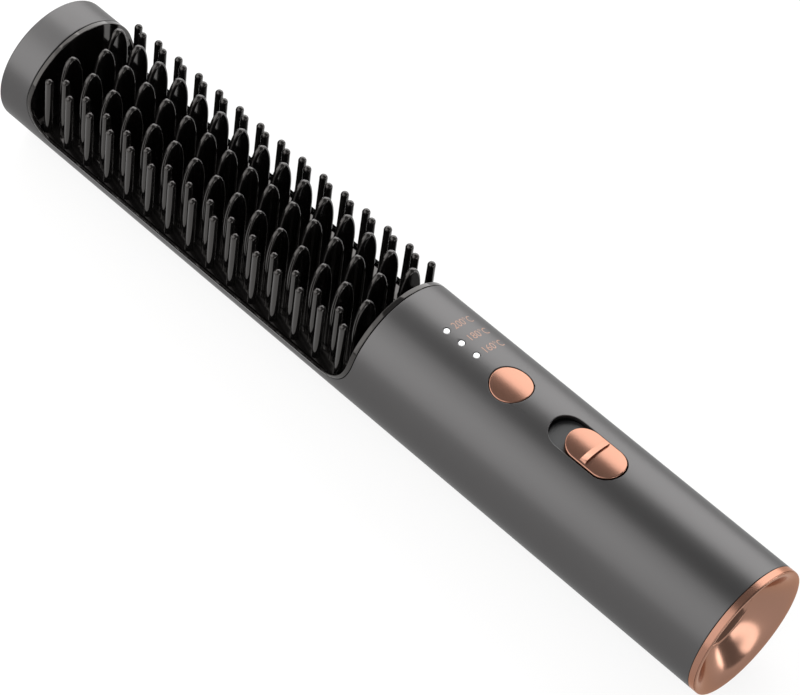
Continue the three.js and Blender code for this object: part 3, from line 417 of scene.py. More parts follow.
def lead_by_area(piece):
    """Smooth shading in which the large faces lead."""
    choose(piece)
    bpy.ops.object.shade_smooth_by_angle(angle=math.radians(SMOOTH))
    weights = piece.modifiers.new("Weights", "WEIGHTED_NORMAL")
    weights.keep_sharp = True
    weights.weight = 100
    bpy.ops.object.modifier_apply(modifier=weights.name)


def draw(name, points):
    """A line of edges through points, drawn by extruding one point onwards."""
    drop_choice()
    bpy.ops.mesh.primitive_plane_add(size=OVERLAP)
    piece = settle(name)
    edit(piece)
    bpy.ops.mesh.select_mode(type="VERT")
    take_all()
    bpy.ops.mesh.merge(type="CENTER")
    bpy.ops.transform.translate(value=points[0])
    for before, after in zip(points, points[1:]):
        bpy.ops.mesh.extrude_region_move(TRANSFORM_OT_translate={"value": after - before})
    return piece


def spun(name, points, centre, axis, sides):
    """Revolve a line about an axis and close it into one skin."""
    piece = draw(name, points)
    take_all()
    bpy.ops.mesh.spin(steps=sides, angle=2 * math.pi, center=centre, axis=axis)
    weld()
    face_outwards()
    leave()
    return piece


def turned(name, profile, sides=TUBE_SIDES):
    """Revolve (place along, radius) points about the tube's axis."""
    points = [Vector((along, 0, AXIS + radius)) for along, radius in profile]
    return spun(name, points, (0, 0, AXIS), (1, 0, 0), sides)


def copies(piece, places):
    """Copy a shape to every place, each copy with its own mesh, as one object."""
    made = []
    for place in places:
        choose(piece)
        bpy.ops.object.duplicate(linked=False)
        bpy.ops.transform.translate(value=place)
        made.append(bpy.context.object)
    choose(*made)
    bpy.ops.object.join()
    joined = bpy.context.object
    bpy.data.objects.remove(piece)
    apply_place()
    return joined


def place_piece(piece, body, slot, materials, *nodes):
    """Give a finished piece its material and body, and hide the nodes it stands for; the slot is not used.
    """
    for material in materials:
        piece.data.materials.append(material)
    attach(piece, body)
    if nodes:
        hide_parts(*nodes)
    return piece


def add_node(material, kind, settings=None, links=None):
    """Add a shader node, set its sockets or options, and link other sockets to it."""
    tree = material.node_tree
    made = tree.nodes.new(kind)
    for name, value in (settings or {}).items():
        if isinstance(name, int) or name in made.inputs:
            made.inputs[name].default_value = value
        else:
            setattr(made, name, value)
    for name, source in (links or {}).items():
        tree.links.new(source, made.inputs[name])
    return made


def grained(name, base, surface, grain, depth, tint=0.06, spread=0.04):
    """A material with its typical surface values and a fine grain in colour, gloss and relief.

    Grain is the size of one speck and depth its relief, both in metres.
    Tint is how far the colour varies, and spread how far the roughness varies.
    """
    material = bpy.data.materials.new(name)
    material.use_nodes = True
    material.node_tree.nodes.clear()
    place = add_node(material, "ShaderNodeTexCoord")
    noise = add_node(
        material, "ShaderNodeTexNoise",
        {"Scale": 1 / grain, "Detail": 3.0, "Roughness": 0.55},
        {"Vector": place.outputs["Object"]},
    )
    cloud = add_node(
        material, "ShaderNodeTexNoise",
        {"Scale": 1 / (CLOUD * grain), "Detail": 2.0},
        {"Vector": place.outputs["Object"]},
    )
    dark = [value * (1 - tint) for value in base] + [1]
    light = [min(value * (1 + tint), 1) for value in base] + [1]
    blend = add_node(
        material, "ShaderNodeMix", {"data_type": "RGBA"}, {0: cloud.outputs["Fac"]},
    )
    blend.inputs[6].default_value = dark
    blend.inputs[7].default_value = light
    rough = add_node(
        material, "ShaderNodeMapRange",
        {
            "To Min": surface["Roughness"] - spread,
            "To Max": surface["Roughness"] + spread,
        },
        {"Value": noise.outputs["Fac"]},
    )
    relief = add_node(
        material, "ShaderNodeBump", {"Strength": 1.0, "Distance": depth},
        {"Height": noise.outputs["Fac"]},
    )
    settings = {key: value for key, value in surface.items() if key != "Roughness"}
    shader = add_node(
        material, "ShaderNodeBsdfPrincipled", settings,
        {
            "Base Color": blend.outputs[2],
            "Roughness": rough.outputs["Result"],
            "Normal": relief.outputs["Normal"],
        },
    )
    add_node(material, "ShaderNodeOutputMaterial", {}, {"Surface": shader.outputs["BSDF"]})
    return material


def finish(maker):
    """The material that a function makes, made only once."""
    return bpy.data.materials.get(maker.__name__) or maker()


def anodised_aluminium():
    """Bead-blasted and anodised: broad soft highlights that run along the tube.

    The blasting leaves pits of about 0.1 mm, drawn coarser so that they show.
    """
    return grained(
        "anodised_aluminium", colours().tube_grey,
        {"Metallic": 1.0, "Roughness": 0.36, "Specular Tint": (0.7, 0.7, 0.7, 1)},
        grain=0.25 * MM, depth=0.0012 * MM, tint=0.02, spread=0.02,
    )


def polished_polycarbonate():
    """Black polycarbonate from a polished mould: near black, with sharp warm reflections."""
    return grained(
        "polished_polycarbonate", colours().gloss_black,
        {
            "Metallic": 0.0, "Roughness": 0.08, "IOR": 1.56,
            "Specular Tint": (1.0, 0.95, 0.91, 1),
        },
        grain=0.9 * MM, depth=0.002 * MM, tint=0.1, spread=0.02,
    )


def satin_rose_gold():
    """Rose gold plating over a finely blasted moulding: warm, soft-edged highlights.

    The grain of about 0.05 mm is drawn coarser so that it shows.
    """
    return grained(
        "satin_rose_gold", colours().rose_gold,
        {"Metallic": 1.0, "Roughness": 0.24, "Specular Tint": (0.9, 0.68, 0.58, 1)},
        grain=0.2 * MM, depth=0.0006 * MM, tint=0.02, spread=0.02,
    )


def polished_rose_gold_painted_shade():
    """Rose gold plating over a polished moulding: clear reflections in the dish. Its colour is a little
    darker than the band's same plating: painted shade that dims the dish's reflections.
    """
    return grained(
        "polished_rose_gold_painted_shade", colours().dish_gold,
        {"Metallic": 1.0, "Roughness": 0.17, "Specular Tint": (0.9, 0.7, 0.6, 1)},
        grain=1.5 * MM, depth=0.001 * MM, tint=0.02, spread=0.02,
    )


def eroded_plastic():
    """Spark-eroded dark moulding: dull grey with a fine even grain of about 0.15 mm."""
    return grained(
        "eroded_plastic", colours().recess_grey,
        {"Metallic": 0.0, "Roughness": 0.42, "IOR": 1.54},
        grain=0.18 * MM, depth=0.006 * MM, tint=0.08, spread=0.06,
    )


def frosted_acrylic():
    """Frosted white acrylic, lit from below: an even bright dot."""
    return grained(
        "frosted_acrylic", linear("#f6f7f8"),
        {
            "Metallic": 0.0, "Roughness": 0.35, "IOR": 1.49,
            "Emission Color": (1, 1, 1, 1), "Emission Strength": 0.35,
        },
        grain=0.3 * MM, depth=0.002 * MM, tint=0.02,
    )


def printed_ink():
    """Pad-printed copper ink: flat, slightly broken up, without gloss."""
    return grained(
        "printed_ink", colours().print_copper,
        {"Metallic": 0.2, "Roughness": 0.5},
        grain=0.2 * MM, depth=0.002 * MM, tint=0.06,
    )


def metal_tube():
    """Drawn tube with a closed nose, its long window and the holes for the controls."""
    size = sizes()
    end = TUBE_END - size.band_more
    tube = bar("tube_shell", RADIUS, NOSE + size.nose_depth, end)
    edit(tube)
    pick_faces(tube, lambda at, way: way.x < -FACING)
    steps = 10
    for step in range(steps):
        before, after = (math.pi / 2 * (step + k) / steps for k in (0, 1))
        bpy.ops.mesh.inset(
            thickness=size.nose_width * (math.cos(before) - math.cos(after)),
            depth=size.nose_depth * (math.sin(after) - math.sin(before)),
        )
    pick_faces(tube, lambda at, way: way.x > FACING)
    bpy.ops.mesh.inset(thickness=size.tube_wall, depth=0)
    inside = NOSE + size.nose_depth + size.tube_wall
    bpy.ops.mesh.extrude_region_move(TRANSFORM_OT_translate={"value": (inside - end, 0, 0)})
    leave()
    rings = round((end - inside) / RING)
    slices(tube, [inside + RING * step for step in range(1, rings)], (1, 0, 0))
    combine(tube, window_cut("window_tool", 0), "DIFFERENCE")
    hole = post(
        "button_tool", size.button_radius + size.hair_gap, BUTTON_PLACE, AXIS, AXIS + REACH,
    )
    combine(tube, hole, "DIFFERENCE")
    slot = stadium(
        "slot_tool", (size.slot_length, size.slot_width), SLOT_PLACE, AXIS, AXIS + REACH,
    )
    combine(tube, slot, "DIFFERENCE")
    for place in light_places():
        hole = post(
            "light_tool", size.light_radius + size.light_ring, place, AXIS, AXIS + REACH,
            SMALL_SIDES,
        )
        combine(tube, hole, "DIFFERENCE")
    soften(tube, size.edge)
    return tube


def row_pitch():
    """Spacing of the comb's rows."""
    return (LAST_ROW - FIRST_ROW) / (sizes().rows - 1)


def light_places():
    """The three level lights along the tube."""
    low = guide_low.x + GUIDE_END
    high = guide_high.x - GUIDE_END
    return [low, (low + high) / 2, high]


def comb_carrier():
    """Black carrier in the head: a flush rim round the window, end walls and a floor."""
    size = sizes()
    start = WINDOW_START + size.rim_width
    end = WINDOW_END - size.rim_width
    carrier = bar("comb_carrier", RADIUS, frame_low.x, frame_high.x)
    combine(carrier, window_cut("rim_tool", size.hair_gap), "INTERSECT")
    insert = bar("insert_tool", INSERT_RADIUS, frame_low.x, frame_high.x)
    combine(carrier, insert, "UNION")
    inner = tray_cut(
        "opening_tool", start, end,
        AXIS - size.window_sill + size.rim_side, size.window_corner - size.rim_width,
    )
    combine(carrier, inner, "DIFFERENCE")
    trough = tray_cut("trough_tool", start, end, AXIS - size.bed_depth, size.bed_fillet)
    ledge = block(
        "ledge_tool",
        (rail_low.x - size.gap, -REACH, pins_low.z - size.gap),
        (rail_high.x + size.gap, REACH, AXIS + REACH),
    )
    combine(trough, ledge, "UNION")
    inside = bar("inside_tool", RADIUS - size.rim_depth, frame_low.x, frame_high.x)
    combine(trough, inside, "INTERSECT")
    combine(carrier, trough, "DIFFERENCE")
    soften(carrier, size.edge)
    return carrier


def blade_shape(tip):
    """One blade at the first row: straight sides under an elliptical arch."""
    size = sizes()
    half = size.blade_width / 2
    spring = tip - size.blade_arch
    drop_choice()
    bpy.ops.mesh.primitive_cylinder_add(
        vertices=ROUND_SIDES, radius=half, depth=size.blade_thickness,
        location=(FIRST_ROW, 0, spring), rotation=(0, math.pi / 2, 0),
    )
    blade = settle("blade_shape")
    edit(blade)
    cut_all((FIRST_ROW, 0, spring), (0, 0, -1), use_fill=True, clear_outer=True)
    take_all()
    bpy.ops.transform.resize(
        value=(1, 1, size.blade_arch / half), center_override=(FIRST_ROW, 0, spring),
    )
    pick_faces(blade, lambda at, way: way.z < -FACING)
    foot = AXIS - size.bed_depth - size.gap
    bpy.ops.mesh.extrude_region_move(TRANSFORM_OT_translate={"value": (0, 0, foot - spring)})
    face_outwards()
    pick_edges(
        blade,
        lambda at, way: at.z > foot + TINY and abs(way.x) < 1 - FACING
        and abs(abs(at.x - FIRST_ROW) - size.blade_thickness / 2) < TINY
        and (at.z > spring + TINY or abs(way.z) > FACING),
    )
    round_picked(size.blade_edge, segments=5)
    leave()
    return blade


def blade_strip(name, low, high, rows, start):
    """A column of blades on its rail."""
    size = sizes()
    blade = blade_shape(high.z + size.blade_reach)
    side = (low.y + high.y) / 2
    pitch = row_pitch()
    blades = copies(blade, [Vector((start + i * pitch, side, 0)) for i in range(rows)])
    top = AXIS - size.bed_depth
    rail = block(name, low, (high.x, high.y, top))
    combine(rail, blades, "UNION")
    lead_by_area(rail)
    return rail


def pin_shape(tip, side):
    """One round pin with a ball at its tip, standing at the first row."""
    size = sizes()
    sunk = 0.6 * MM
    foot = AXIS - size.bed_depth - size.bed_drop - sunk
    centre = tip - size.pin_ball
    profile = [(0, foot), (size.pin_root, foot)]
    joint = math.asin(size.pin_stem / size.pin_ball)
    steps = 8
    for step in range(steps + 1):
        turn = (math.pi - joint) * (1 - step / steps)
        profile.append((size.pin_ball * math.sin(turn), centre + size.pin_ball * math.cos(turn)))
    points = [Vector((FIRST_ROW + radius, side, height)) for radius, height in profile]
    return spun("pin_shape", points, (FIRST_ROW, side, 0), (0, 0, 1), PIN_SIDES)


def bristle_strip(name, side):
    """Two staggered rows of ball-tipped pins on a strip that falls towards the rim."""
    size = sizes()
    inner = pins_low.y
    inner_pins = inner + size.inner_pin_place - size.gap / 2
    top = AXIS - size.bed_depth
    edge = top - size.bed_drop
    inside = RADIUS - size.rim_depth - size.gap
    outer = math.sqrt(inside ** 2 - (edge - AXIS) ** 2)
    strip = block(name, (rail_low.x, inner, pins_low.z), (rail_high.x, outer, top))
    edit(strip)
    cut_all((0, inner_pins, 0), (0, 1, 0))
    pick_edges(
        strip,
        lambda at, way: abs(way.x) > FACING and at.z > top - TINY and at.y > outer - TINY,
    )
    bpy.ops.transform.translate(value=(0, 0, -size.bed_drop))
    leave()
    trim = bar("trim_tool", inside, rail_low.x - OVERLAP, rail_high.x + OVERLAP)
    combine(strip, trim, "INTERSECT")
    pitch = row_pitch()
    outer_pins = outer - size.pin_inset
    outer_row = copies(
        pin_shape(pins_high.z - size.outer_pin_drop, outer_pins),
        [Vector((i * pitch, 0, 0)) for i in range(size.rows)],
    )
    combine(strip, outer_row, "UNION")
    inner_row = copies(
        pin_shape(pins_high.z, inner_pins),
        [Vector(((i + 0.5) * pitch, 0, 0)) for i in range(size.rows - 1)],
    )
    combine(strip, inner_row, "UNION")
    if side < 0:
        choose(strip)
        bpy.ops.transform.mirror(constraint_axis=(False, True, False), center_override=(0, 0, 0))
        apply_place()
        edit(strip)
        face_outwards()
        leave()
    lead_by_area(strip)
    return strip


def power_key():
    """Round button whose top follows the tube, with a bright chamfer, a collar and a stem."""
    size = sizes()
    collar = (button_high.x - button_low.x) / 2
    shelf = AXIS + math.sqrt((RADIUS - size.tube_wall) ** 2 - collar ** 2) - size.gap
    collar_height = 0.9 * MM
    stem_radius = 2 * MM
    sunk = 0.5 * MM
    top = AXIS + RADIUS
    key = post("power_key", size.button_radius, BUTTON_PLACE, shelf - sunk, top, BUTTON_SIDES)
    soften(key, size.key_edge, segments=4)
    follow_tube(key, top - 2 * size.key_edge, RADIUS)
    flange = post("flange_tool", collar, BUTTON_PLACE, shelf - collar_height, shelf)
    combine(key, flange, "UNION")
    stem = post("stem_tool", stem_radius, BUTTON_PLACE, button_low.z, shelf - sunk, SMALL_SIDES)
    combine(key, stem, "UNION")
    lead_by_area(key)
    return key


def slide_key():
    """Capsule slider whose top follows the tube, with one wedge rib and its neck."""
    size = sizes()
    middle = (slider_low.x + slider_high.x) / 2
    long = slider_high.x - slider_low.x
    wide = slider_high.y - slider_low.y
    proud = RADIUS + size.slider_proud
    top = AXIS + proud
    under = top - size.slider_skirt
    neck_long = 5 * MM
    neck_wide = 3.6 * MM
    sunk = 0.2 * MM
    key = stadium("slide_key", (long, wide), middle, under, top, segments=40)
    soften(key, size.key_edge, segments=4)
    rib = wedge_rib(slider_high.x - size.rib_back, wide / 2 - size.rib_margin, top)
    combine(key, rib, "UNION")
    neck = centred("neck_tool", (neck_long, neck_wide), middle, slider_low.z, under + sunk)
    combine(key, neck, "UNION")
    follow_tube(key, top - 2 * size.key_edge, proud)
    lead_by_area(key)
    return key


def wedge_rib(step, reach, top):
    """The slider's wedge: low on the nose side, a steep step on the tail side, sloped ends."""
    size = sizes()
    crest = top + size.rib_crest
    rib = block("wedge_rib", (step - size.rib_length, -reach, top - OVERLAP), (step, reach, crest))
    edit(rib)
    pick_faces(rib, lambda at, way: way.z > FACING)
    bpy.ops.transform.resize(
        value=(1, 1 - size.rib_slant / reach, 1), center_override=(step, 0, crest),
    )
    pick_edges(rib, lambda at, way: abs(way.y) > FACING and at.x < step - TINY and at.z > top)
    bpy.ops.transform.translate(value=(0, 0, top + size.rib_lip - crest))
    leave()
    soften(rib, RIB_EDGE)
    return rib


def slot_tray():
    """Dark floor of the slider's slot, with a lip under the tube."""
    size = sizes()
    lip_top = AXIS + math.sqrt((RADIUS - size.tube_wall) ** 2 - tray_high.y ** 2) - size.gap
    tray = stadium(
        "slot_tray", (tray_high.x - tray_low.x, tray_high.y - tray_low.y), SLOT_PLACE,
        tray_low.z, lip_top,
    )
    floor = stadium(
        "floor_tool", (size.slot_length - size.gap, size.slot_width - size.gap), SLOT_PLACE,
        tray_low.z, tray_high.z, segments=32,
    )
    combine(tray, floor, "UNION")
    slit_long = 11 * MM
    slit_wide = 4.4 * MM
    slit = centred(
        "slit_tool", (slit_long, slit_wide), SLOT_PLACE, tray_low.z - OVERLAP,
        tray_high.z + OVERLAP,
    )
    combine(tray, slit, "DIFFERENCE")
    soften(tray, MOULDED_EDGE, segments=2)
    return tray


def level_lenses():
    """Three round lenses that end flush in the tube, on one light bar."""
    size = sizes()
    bar_height = 1.2 * MM
    bar_top = AXIS + RADIUS - size.tube_wall - 2 * size.gap
    lens_top = RADIUS - LENS_DEPTH
    guide = block(
        "level_lenses", (guide_low.x, guide_low.y, bar_top - bar_height),
        (guide_high.x, guide_high.y, bar_top),
    )
    crown = bar("crown_tool", lens_top, guide_low.x - OVERLAP, guide_high.x + OVERLAP)
    lens = post(
        "lens_shape", size.light_radius, 0, guide_low.z, AXIS + lens_top + OVERLAP, SMALL_SIDES,
    )
    lenses = copies(lens, [Vector((place, 0, 0)) for place in light_places()])
    combine(lenses, crown, "INTERSECT")
    combine(guide, lenses, "UNION")
    soften(guide, LENS_EDGE, segments=2)
    return guide


def level_marks():
    """The three temperatures, printed beside the lights and wrapped on the tube."""
    size = sizes()
    made = []
    for place, level in zip(light_places(), LEVELS):
        drop_choice()
        bpy.ops.object.text_add(location=(0, 0, 0))
        text = bpy.context.object
        text.data.body = f"{level}{DEGREE}C"
        text.data.offset = STROKE
        bpy.ops.object.convert(target="MESH")
        mark = bpy.context.object
        mark.scale = (size.mark_width / mark.dimensions.x, size.letter_height / CAPITAL, 1)
        mark.rotation_euler = (0, 0, math.pi / 2)
        mark.location = (place + size.mark_base, size.mark_start, 0)
        apply_place()
        made.append(mark)
    choose(*made)
    bpy.ops.object.join()
    marks = settle("level_marks")
    edit(marks)
    weld()
    leave()
    first = int(size.mark_start / STRIP)
    last = int((size.mark_start + size.mark_width) / STRIP)
    slices(marks, [step * STRIP for step in range(first, last + 1)], (0, 1, 0))
    print_radius = RADIUS + INK
    for point in marks.data.vertices:
        turn = point.co.y / RADIUS
        point.co.y = print_radius * math.sin(turn)
        point.co.z = AXIS + print_radius * math.cos(turn)
    return marks


def dish_drop(radius):
    """How deep the cap's hollow is at a radius: it starts flat, steepens and eases out."""
    size = sizes()
    edge = RADIUS - size.cap_bevel
    run = edge - size.well_radius
    share = (edge - radius) / run
    return (
        size.dish_depth * (3 * share ** 2 - 2 * share ** 3)
        + size.dish_start * run * (share ** 3 - 2 * share ** 2 + share)
        + size.dish_end * run * (share ** 3 - share ** 2)
    )


def end_cap():
    """Plated tail cap: satin band, fine groove, rounded lip, polished dish, well and spigot."""
    size = sizes()
    face = cap_high.x
    back = TUBE_END - size.band_more + size.seam
    spigot_wall = 1.3 * MM
    band_edge = 0.05 * MM
    groove_slope = 0.02 * MM
    lip_step = 0.03 * MM
    spigot_inside = INSERT_RADIUS - spigot_wall
    well_floor_radius = size.well_radius - size.well_draft
    well_outside = size.well_radius + spigot_wall
    well_end = plate_low.x - spigot_wall
    well_edge = 0.3 * MM
    shelf = face - size.dish_depth - spigot_wall
    lip = face - size.cap_bevel
    band = lip - size.cap_groove
    profile = [
        (cap_low.x, spigot_inside),
        (cap_low.x, INSERT_RADIUS),
        (back, INSERT_RADIUS),
        (back, RADIUS - band_edge),
        (back + band_edge, RADIUS),
        (band, RADIUS),
        (band + groove_slope, RADIUS - size.cap_groove),
        (lip - groove_slope, RADIUS - size.cap_groove),
    ]
    steps = 8
    for step in range(steps + 1):
        turn = math.pi / 2 * step / steps
        profile.append((
            lip + size.cap_bevel * math.sin(turn),
            RADIUS - size.cap_bevel * (1 - math.cos(turn)) - lip_step,
        ))
    steps = 28
    edge = RADIUS - size.cap_bevel - lip_step
    rim = size.well_radius + well_edge
    for step in range(1, steps + 1):
        radius = edge + (rim - edge) * step / steps
        profile.append((face - dish_drop(radius), radius))
    steps = 5
    low = face - dish_drop(rim)
    for step in range(1, steps + 1):
        turn = math.pi / 2 * step / steps
        profile.append((low - well_edge * (1 - math.cos(turn)), rim - well_edge * math.sin(turn)))
    profile += [
        (plate_high.x, well_floor_radius),
        (well_end, well_floor_radius),
        (well_end, well_outside),
        (shelf, well_outside),
        (shelf + (back - shelf) / 2, spigot_inside),
        (cap_low.x, spigot_inside),
    ]
    cap = turned("end_cap", profile)
    lead_by_area(cap)
    return cap


def well_floor():
    """Dark plate at the bottom of the charging well, with the socket's opening."""
    size = sizes()
    plate = bar("well_floor", plate_high.y, plate_low.x, plate_high.x, ROUND_SIDES)
    high = shell_high.z - AXIS + size.gap
    wide = shell_high.y + size.gap
    slot = block(
        "socket_tool", (plate_low.x - OVERLAP, -wide, AXIS - high),
        (plate_high.x + OVERLAP, wide, AXIS + high),
    )
    edit(slot)
    pick_edges(slot, lambda at, way: abs(way.x) > FACING)
    round_picked(high, segments=16)
    weld()
    leave()
    combine(plate, slot, "DIFFERENCE")
    soften(plate, MOULDED_EDGE)
    return plate


class BRUSH_OT_tube(bpy.types.Operator):
    """Model the metal tube"""

    bl_idname = "brush.tube"
    bl_label = "Metal Tube"

    def execute(self, context):
        place_piece(
            metal_tube(), "handle", "anodised_grey", [finish(anodised_aluminium)], "housing_tube",
        )
        return {"FINISHED"}


class BRUSH_OT_comb(bpy.types.Operator):
    """Model the comb's carrier, its blades and its pins"""

    bl_idname = "brush.comb"
    bl_label = "Comb"

    def execute(self, context):
        rows = sizes().rows
        black = finish(polished_polycarbonate)
        place_piece(comb_carrier(), "handle", "gloss_black", [black], "comb_frame")
        columns = (("left", rows, 0), ("right", rows, 0), ("middle", rows - 1, row_pitch() / 2))
        for side, count, start in columns:
            low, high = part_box(f"blade_strip_{side}")
            strip = blade_strip(f"blades_{side}", low, high, count, start)
            place_piece(strip, "handle", "gloss_black", [black], f"blade_strip_{side}")
        for side, sign in (("left", -1), ("right", 1)):
            strip = bristle_strip(f"pins_{side}", sign)
            place_piece(strip, "handle", "gloss_black", [black], f"bristle_strip_{side}")
        return {"FINISHED"}


class BRUSH_OT_controls(bpy.types.Operator):
    """Model the button, the slider with its tray, the lights and the printed marks"""

    bl_idname = "brush.controls"
    bl_label = "Controls"

    def execute(self, context):
        gold = [finish(satin_rose_gold)]
        place_piece(power_key(), "button", "rose_gold", gold, "power_button")
        place_piece(slide_key(), "slider", "rose_gold", gold, "slide_knob")
        dark = [finish(eroded_plastic)]
        place_piece(slot_tray(), "handle", "dark_plastic", dark, "slide_tray")
        white = [finish(frosted_acrylic)]
        place_piece(level_lenses(), "handle", "frosted_plastic", white, "light_guide")
        place_piece(level_marks(), "handle", "rose_gold", [finish(printed_ink)])
        return {"FINISHED"}


class BRUSH_OT_tail(bpy.types.Operator):
    """Model the tail cap and the floor of its charging well"""

    bl_idname = "brush.tail"
    bl_label = "Tail"

    def execute(self, context):
        golds = [finish(polished_rose_gold_painted_shade), finish(satin_rose_gold)]
        cap = place_piece(end_cap(), "handle", "rose_gold", golds, "tail_cap")
        band = RADIUS - BAND_SKIN
        for face in cap.data.polygons:
            spread = math.hypot(face.center.y, face.center.z - AXIS)
            face.material_index = int(spread > band and abs(face.normal.x) < 1 - FACING)
        dark = [finish(eroded_plastic)]
        place_piece(well_floor(), "handle", "dark_plastic", dark, "port_plate")
        return {"FINISHED"}


INNER_FINISHES = {
    "chassis_plastic": ("abs_moulded_grey", "#3a3c40", {"Roughness": 0.5, "IOR": 1.54}),  # dull grey
    "board_green": ("solder_mask_green", "#1f5a3a", {"Roughness": 0.35, "IOR": 1.5}),  # satin lacquer
    "chip_black": ("epoxy_moulded_black", "#17181a", {"Roughness": 0.5, "IOR": 1.55}),  # dull black
    "bright_metal": ("tinned_steel", "#b9bcc0", {"Roughness": 0.28, "Metallic": 1.0}),  # bright, soft sheen
    "cast_aluminium": ("aluminium_die_cast", "#a3a5a8", {"Roughness": 0.45, "Metallic": 1.0}),  # dull sheen
    "ceramic": ("alumina_sintered", "#e9e6dc", {"Roughness": 0.55, "IOR": 1.76}),  # chalky white
    "mica": ("mica_sheet_flaked", "#a98f63", {"Roughness": 0.4, "IOR": 1.58}),  # waxy amber
    "frosted_plastic": ("acrylic_diffuser", "#f4f6f8", {"Roughness": 0.4, "IOR": 1.49}),  # milky white
    "cell_wrap": ("pvc_shrink_sleeve", "#2f6fa8", {"Roughness": 0.3, "IOR": 1.53}),  # taut and shiny
    "rubber": ("silicone_rubber_black", "#1a1a1b", {"Roughness": 0.7, "IOR": 1.41}),  # matt black
    "wire_red": ("silicone_wire_red", "#b3261e", {"Roughness": 0.5, "IOR": 1.41}),  # soft sheen
    "wire_black": ("silicone_wire_black", "#202020", {"Roughness": 0.5, "IOR": 1.41}),  # soft sheen
}
INNER_NODES = {
    "chassis_plastic": ["inner_chassis"],
    "board_green": ["main_board", "port_board"],
    "chip_black": ["control_chip", "charger_chip", "tact_switch", "slide_switch", "socket_tongue"],
    "bright_metal": [
        "board_screw_1", "board_screw_2", "board_screw_3", "board_screw_4", "switch_plunger",
        "battery_tab_minus", "battery_tab_plus", "socket_shell", "thermal_fuse",
    ],
    "cast_aluminium": ["heater_plate"],
    "ceramic": ["ceramic_heater_front", "ceramic_heater_rear", "thermistor"],
    "mica": ["mica_sheet"],
    "frosted_plastic": ["slide_lever", "level_led_1", "level_led_2", "level_led_3"],
    "cell_wrap": ["battery_cell"],
    "rubber": ["tail_seal"],
    "wire_red": ["heater_wire_left", "heater_wire_right", "cell_wire_plus", "port_wire_right"],
    "wire_black": ["cell_wire_minus", "port_wire_left"],
}


class BRUSH_OT_inner_finishes(bpy.types.Operator):
    """Give the pieces inside the tube their materials"""

    bl_idname = "brush.inner_finishes"
    bl_label = "Inner Finishes"

    def execute(self, context):
        for slot, (name, code, surface) in INNER_FINISHES.items():
            material = grained(name, linear(code), surface, grain=0.3 * MM, depth=0.004 * MM)
            for node in INNER_NODES[slot]:
                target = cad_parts[node]
                target.data.materials.clear()
                target.data.materials.append(material)
        return {"FINISHED"}


# Stage: the photograph's camera, soft lamps and a pale floor
CAMERA_PLACE = (348.7, -436.4, 679.2)       # millimetres
CAMERA_TURN = (39.658, -5.578, 44.692)      # degrees
CAMERA_LENS = 149.9                         # millimetres, on a 36 mm sensor
CAMERA_SHIFT = -0.0005                      # the photograph is cropped by half a pixel
CAMERA_REACH = 50                           # metres
FLOOR_SIZE = 8.0                            # metres
WORLD_LEVEL = 0.3                           # even white light from all round
PAPER_SHARE = 0.8                           # how much of the floor reads as plain white
PAPER_GLOW = 1.06                           # glow of that share, a little over white
SOFTBOXES = (
    # name, azimuth and elevation in degrees, distance, width, height in metres, radiance
    ("softbox_right", 112, 27.5, 0.9, 1.3, 0.94, 2.95),
    ("softbox_left", -112, 35.5, 0.9, 1.3, 1.18, 1.6),
    ("softbox_nose", 170, 40, 0.9, 0.5, 0.5, 2.4),
    ("softbox_head", -138, 24, 0.9, 0.84, 0.78, 0.8),
    ("softbox_tail_left", -7, 6, 0.9, 0.62, 0.22, 3.6),
    ("softbox_tail_right", 46, 6, 0.9, 0.26, 0.22, 6.0),
)


def camera():
    """The photograph's view."""
    made = bpy.data.cameras.new("camera")
    made.lens = CAMERA_LENS
    made.shift_y = CAMERA_SHIFT
    made.clip_end = CAMERA_REACH
    holder = bpy.data.objects.new("camera", made)
    holder.location = Vector(CAMERA_PLACE) * MM
    holder.rotation_euler = [math.radians(turn) for turn in CAMERA_TURN]
    bpy.context.scene.collection.objects.link(holder)
    bpy.context.scene.camera = holder


def softbox(name, azimuth, elevation, distance, width, height, radiance):
    """A soft rectangular lamp that looks at the object."""
    lamp = bpy.data.lights.new(name, "AREA")
    lamp.shape = "RECTANGLE"
    lamp.size = width
    lamp.size_y = height
    lamp.energy = radiance * math.pi * width * height
    holder = bpy.data.objects.new(name, lamp)
    around, up = math.radians(azimuth), math.radians(elevation)
    way = Vector((
        math.cos(up) * math.cos(around), math.cos(up) * math.sin(around), math.sin(up),
    ))
    holder.location = way * distance + Vector((0, 0, AXIS))
    holder.rotation_euler = way.to_track_quat("Z", "Y").to_euler()
    holder.visible_camera = False
    bpy.context.scene.collection.objects.link(holder)


def floor_paper():
    """Matt white paper that reads as plain white and keeps a soft shadow."""
    material = bpy.data.materials.new("paper_matt_white")
    material.use_nodes = True
    material.node_tree.nodes.clear()
    path = add_node(material, "ShaderNodeLightPath")
    seen = add_node(
        material, "ShaderNodeMath", {"operation": "ADD"},
        {0: path.outputs["Is Camera Ray"], 1: path.outputs["Is Glossy Ray"]},
    )
    seen = add_node(
        material, "ShaderNodeMath", {"operation": "ADD", "use_clamp": True},
        {0: seen.outputs[0], 1: path.outputs["Is Transmission Ray"]},
    )
    share = add_node(
        material, "ShaderNodeMath", {"operation": "MULTIPLY", 1: PAPER_SHARE}, {0: seen.outputs[0]},
    )
    plain = add_node(
        material, "ShaderNodeBsdfDiffuse", {"Color": list(colours().floor_white) + [1]},
    )
    white = add_node(material, "ShaderNodeEmission", {"Strength": PAPER_GLOW})
    mixed = add_node(
        material, "ShaderNodeMixShader", {},
        {0: share.outputs[0], 1: plain.outputs[0], 2: white.outputs[0]},
    )
    add_node(material, "ShaderNodeOutputMaterial", {}, {"Surface": mixed.outputs[0]})
    return material


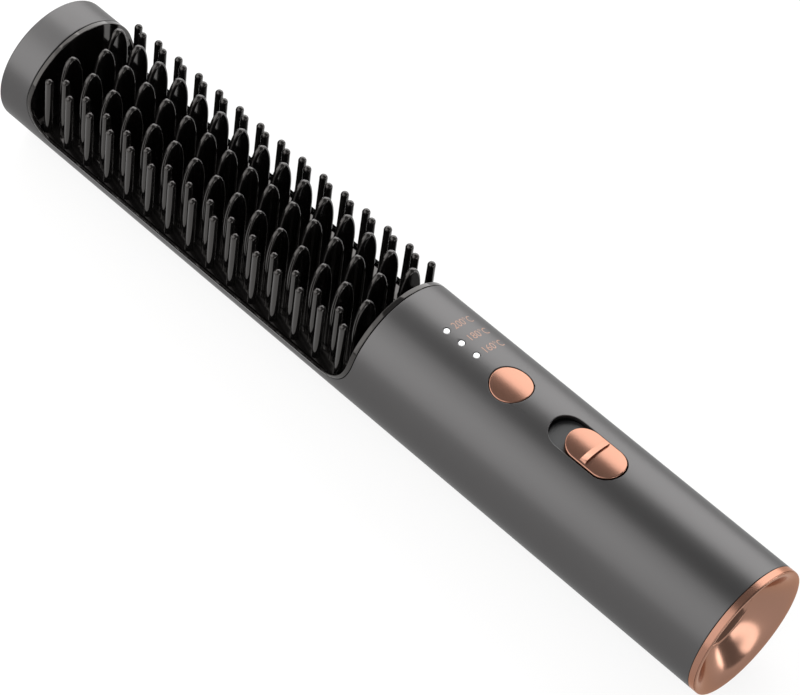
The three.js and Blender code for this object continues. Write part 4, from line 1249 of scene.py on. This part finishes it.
class BRUSH_OT_stage(bpy.types.Operator):
    """Set the camera, the lamps and the floor"""

    bl_idname = "brush.stage"
    bl_label = "Stage"

    def execute(self, context):
        camera()
        for lamp in SOFTBOXES:
            softbox(*lamp)
        drop_choice()
        bpy.ops.mesh.primitive_plane_add(size=FLOOR_SIZE, location=(0, 0, tube_low.z))
        floor = settle("floor")
        floor.data.materials.append(floor_paper())
        world = bpy.data.worlds.new("studio")
        world.use_nodes = True
        light = world.node_tree.nodes["Background"].inputs
        light["Color"].default_value = (1, 1, 1, 1)
        light["Strength"].default_value = WORLD_LEVEL
        context.scene.world = world
        context.scene.view_settings.view_transform = "Standard"
        return {"FINISHED"}


OPERATORS = (
    BRUSH_OT_stage,
    BRUSH_OT_tube,
    BRUSH_OT_comb,
    BRUSH_OT_controls,
    BRUSH_OT_tail,
    BRUSH_OT_inner_finishes,
)


class BRUSH_PT_panel(bpy.types.Panel):
    """Lists the brush's operators and values"""

    bl_idname = "BRUSH_PT_panel"
    bl_label = "Straightening Brush"
    bl_space_type = "VIEW_3D"
    bl_region_type = "UI"
    bl_category = "Brush"

    def draw(self, context):
        column = self.layout.column()
        for operator in OPERATORS:
            column.operator(operator.bl_idname)
        for group in (context.scene.brush_sizes, context.scene.brush_colours):
            for name in group.__annotations__:
                column.prop(group, name)


CLASSES = (BrushSizes, BrushColours, *OPERATORS, BRUSH_PT_panel)


def register():
    """Register the classes and hang the values on the scene."""
    for each in CLASSES:
        bpy.utils.register_class(each)
    bpy.types.Scene.brush_sizes = PointerProperty(type=BrushSizes)
    bpy.types.Scene.brush_colours = PointerProperty(type=BrushColours)


def unregister():
    """Take the values and the classes away again."""
    del bpy.types.Scene.brush_colours
    del bpy.types.Scene.brush_sizes
    for each in reversed(CLASSES):
        bpy.utils.unregister_class(each)


def main():
    """Make the whole scene."""
    register()
    bpy.ops.brush.stage()
    bpy.ops.brush.tube()
    bpy.ops.brush.comb()
    bpy.ops.brush.controls()
    bpy.ops.brush.tail()
    bpy.ops.brush.inner_finishes()


if __name__ == "__main__":
    main()
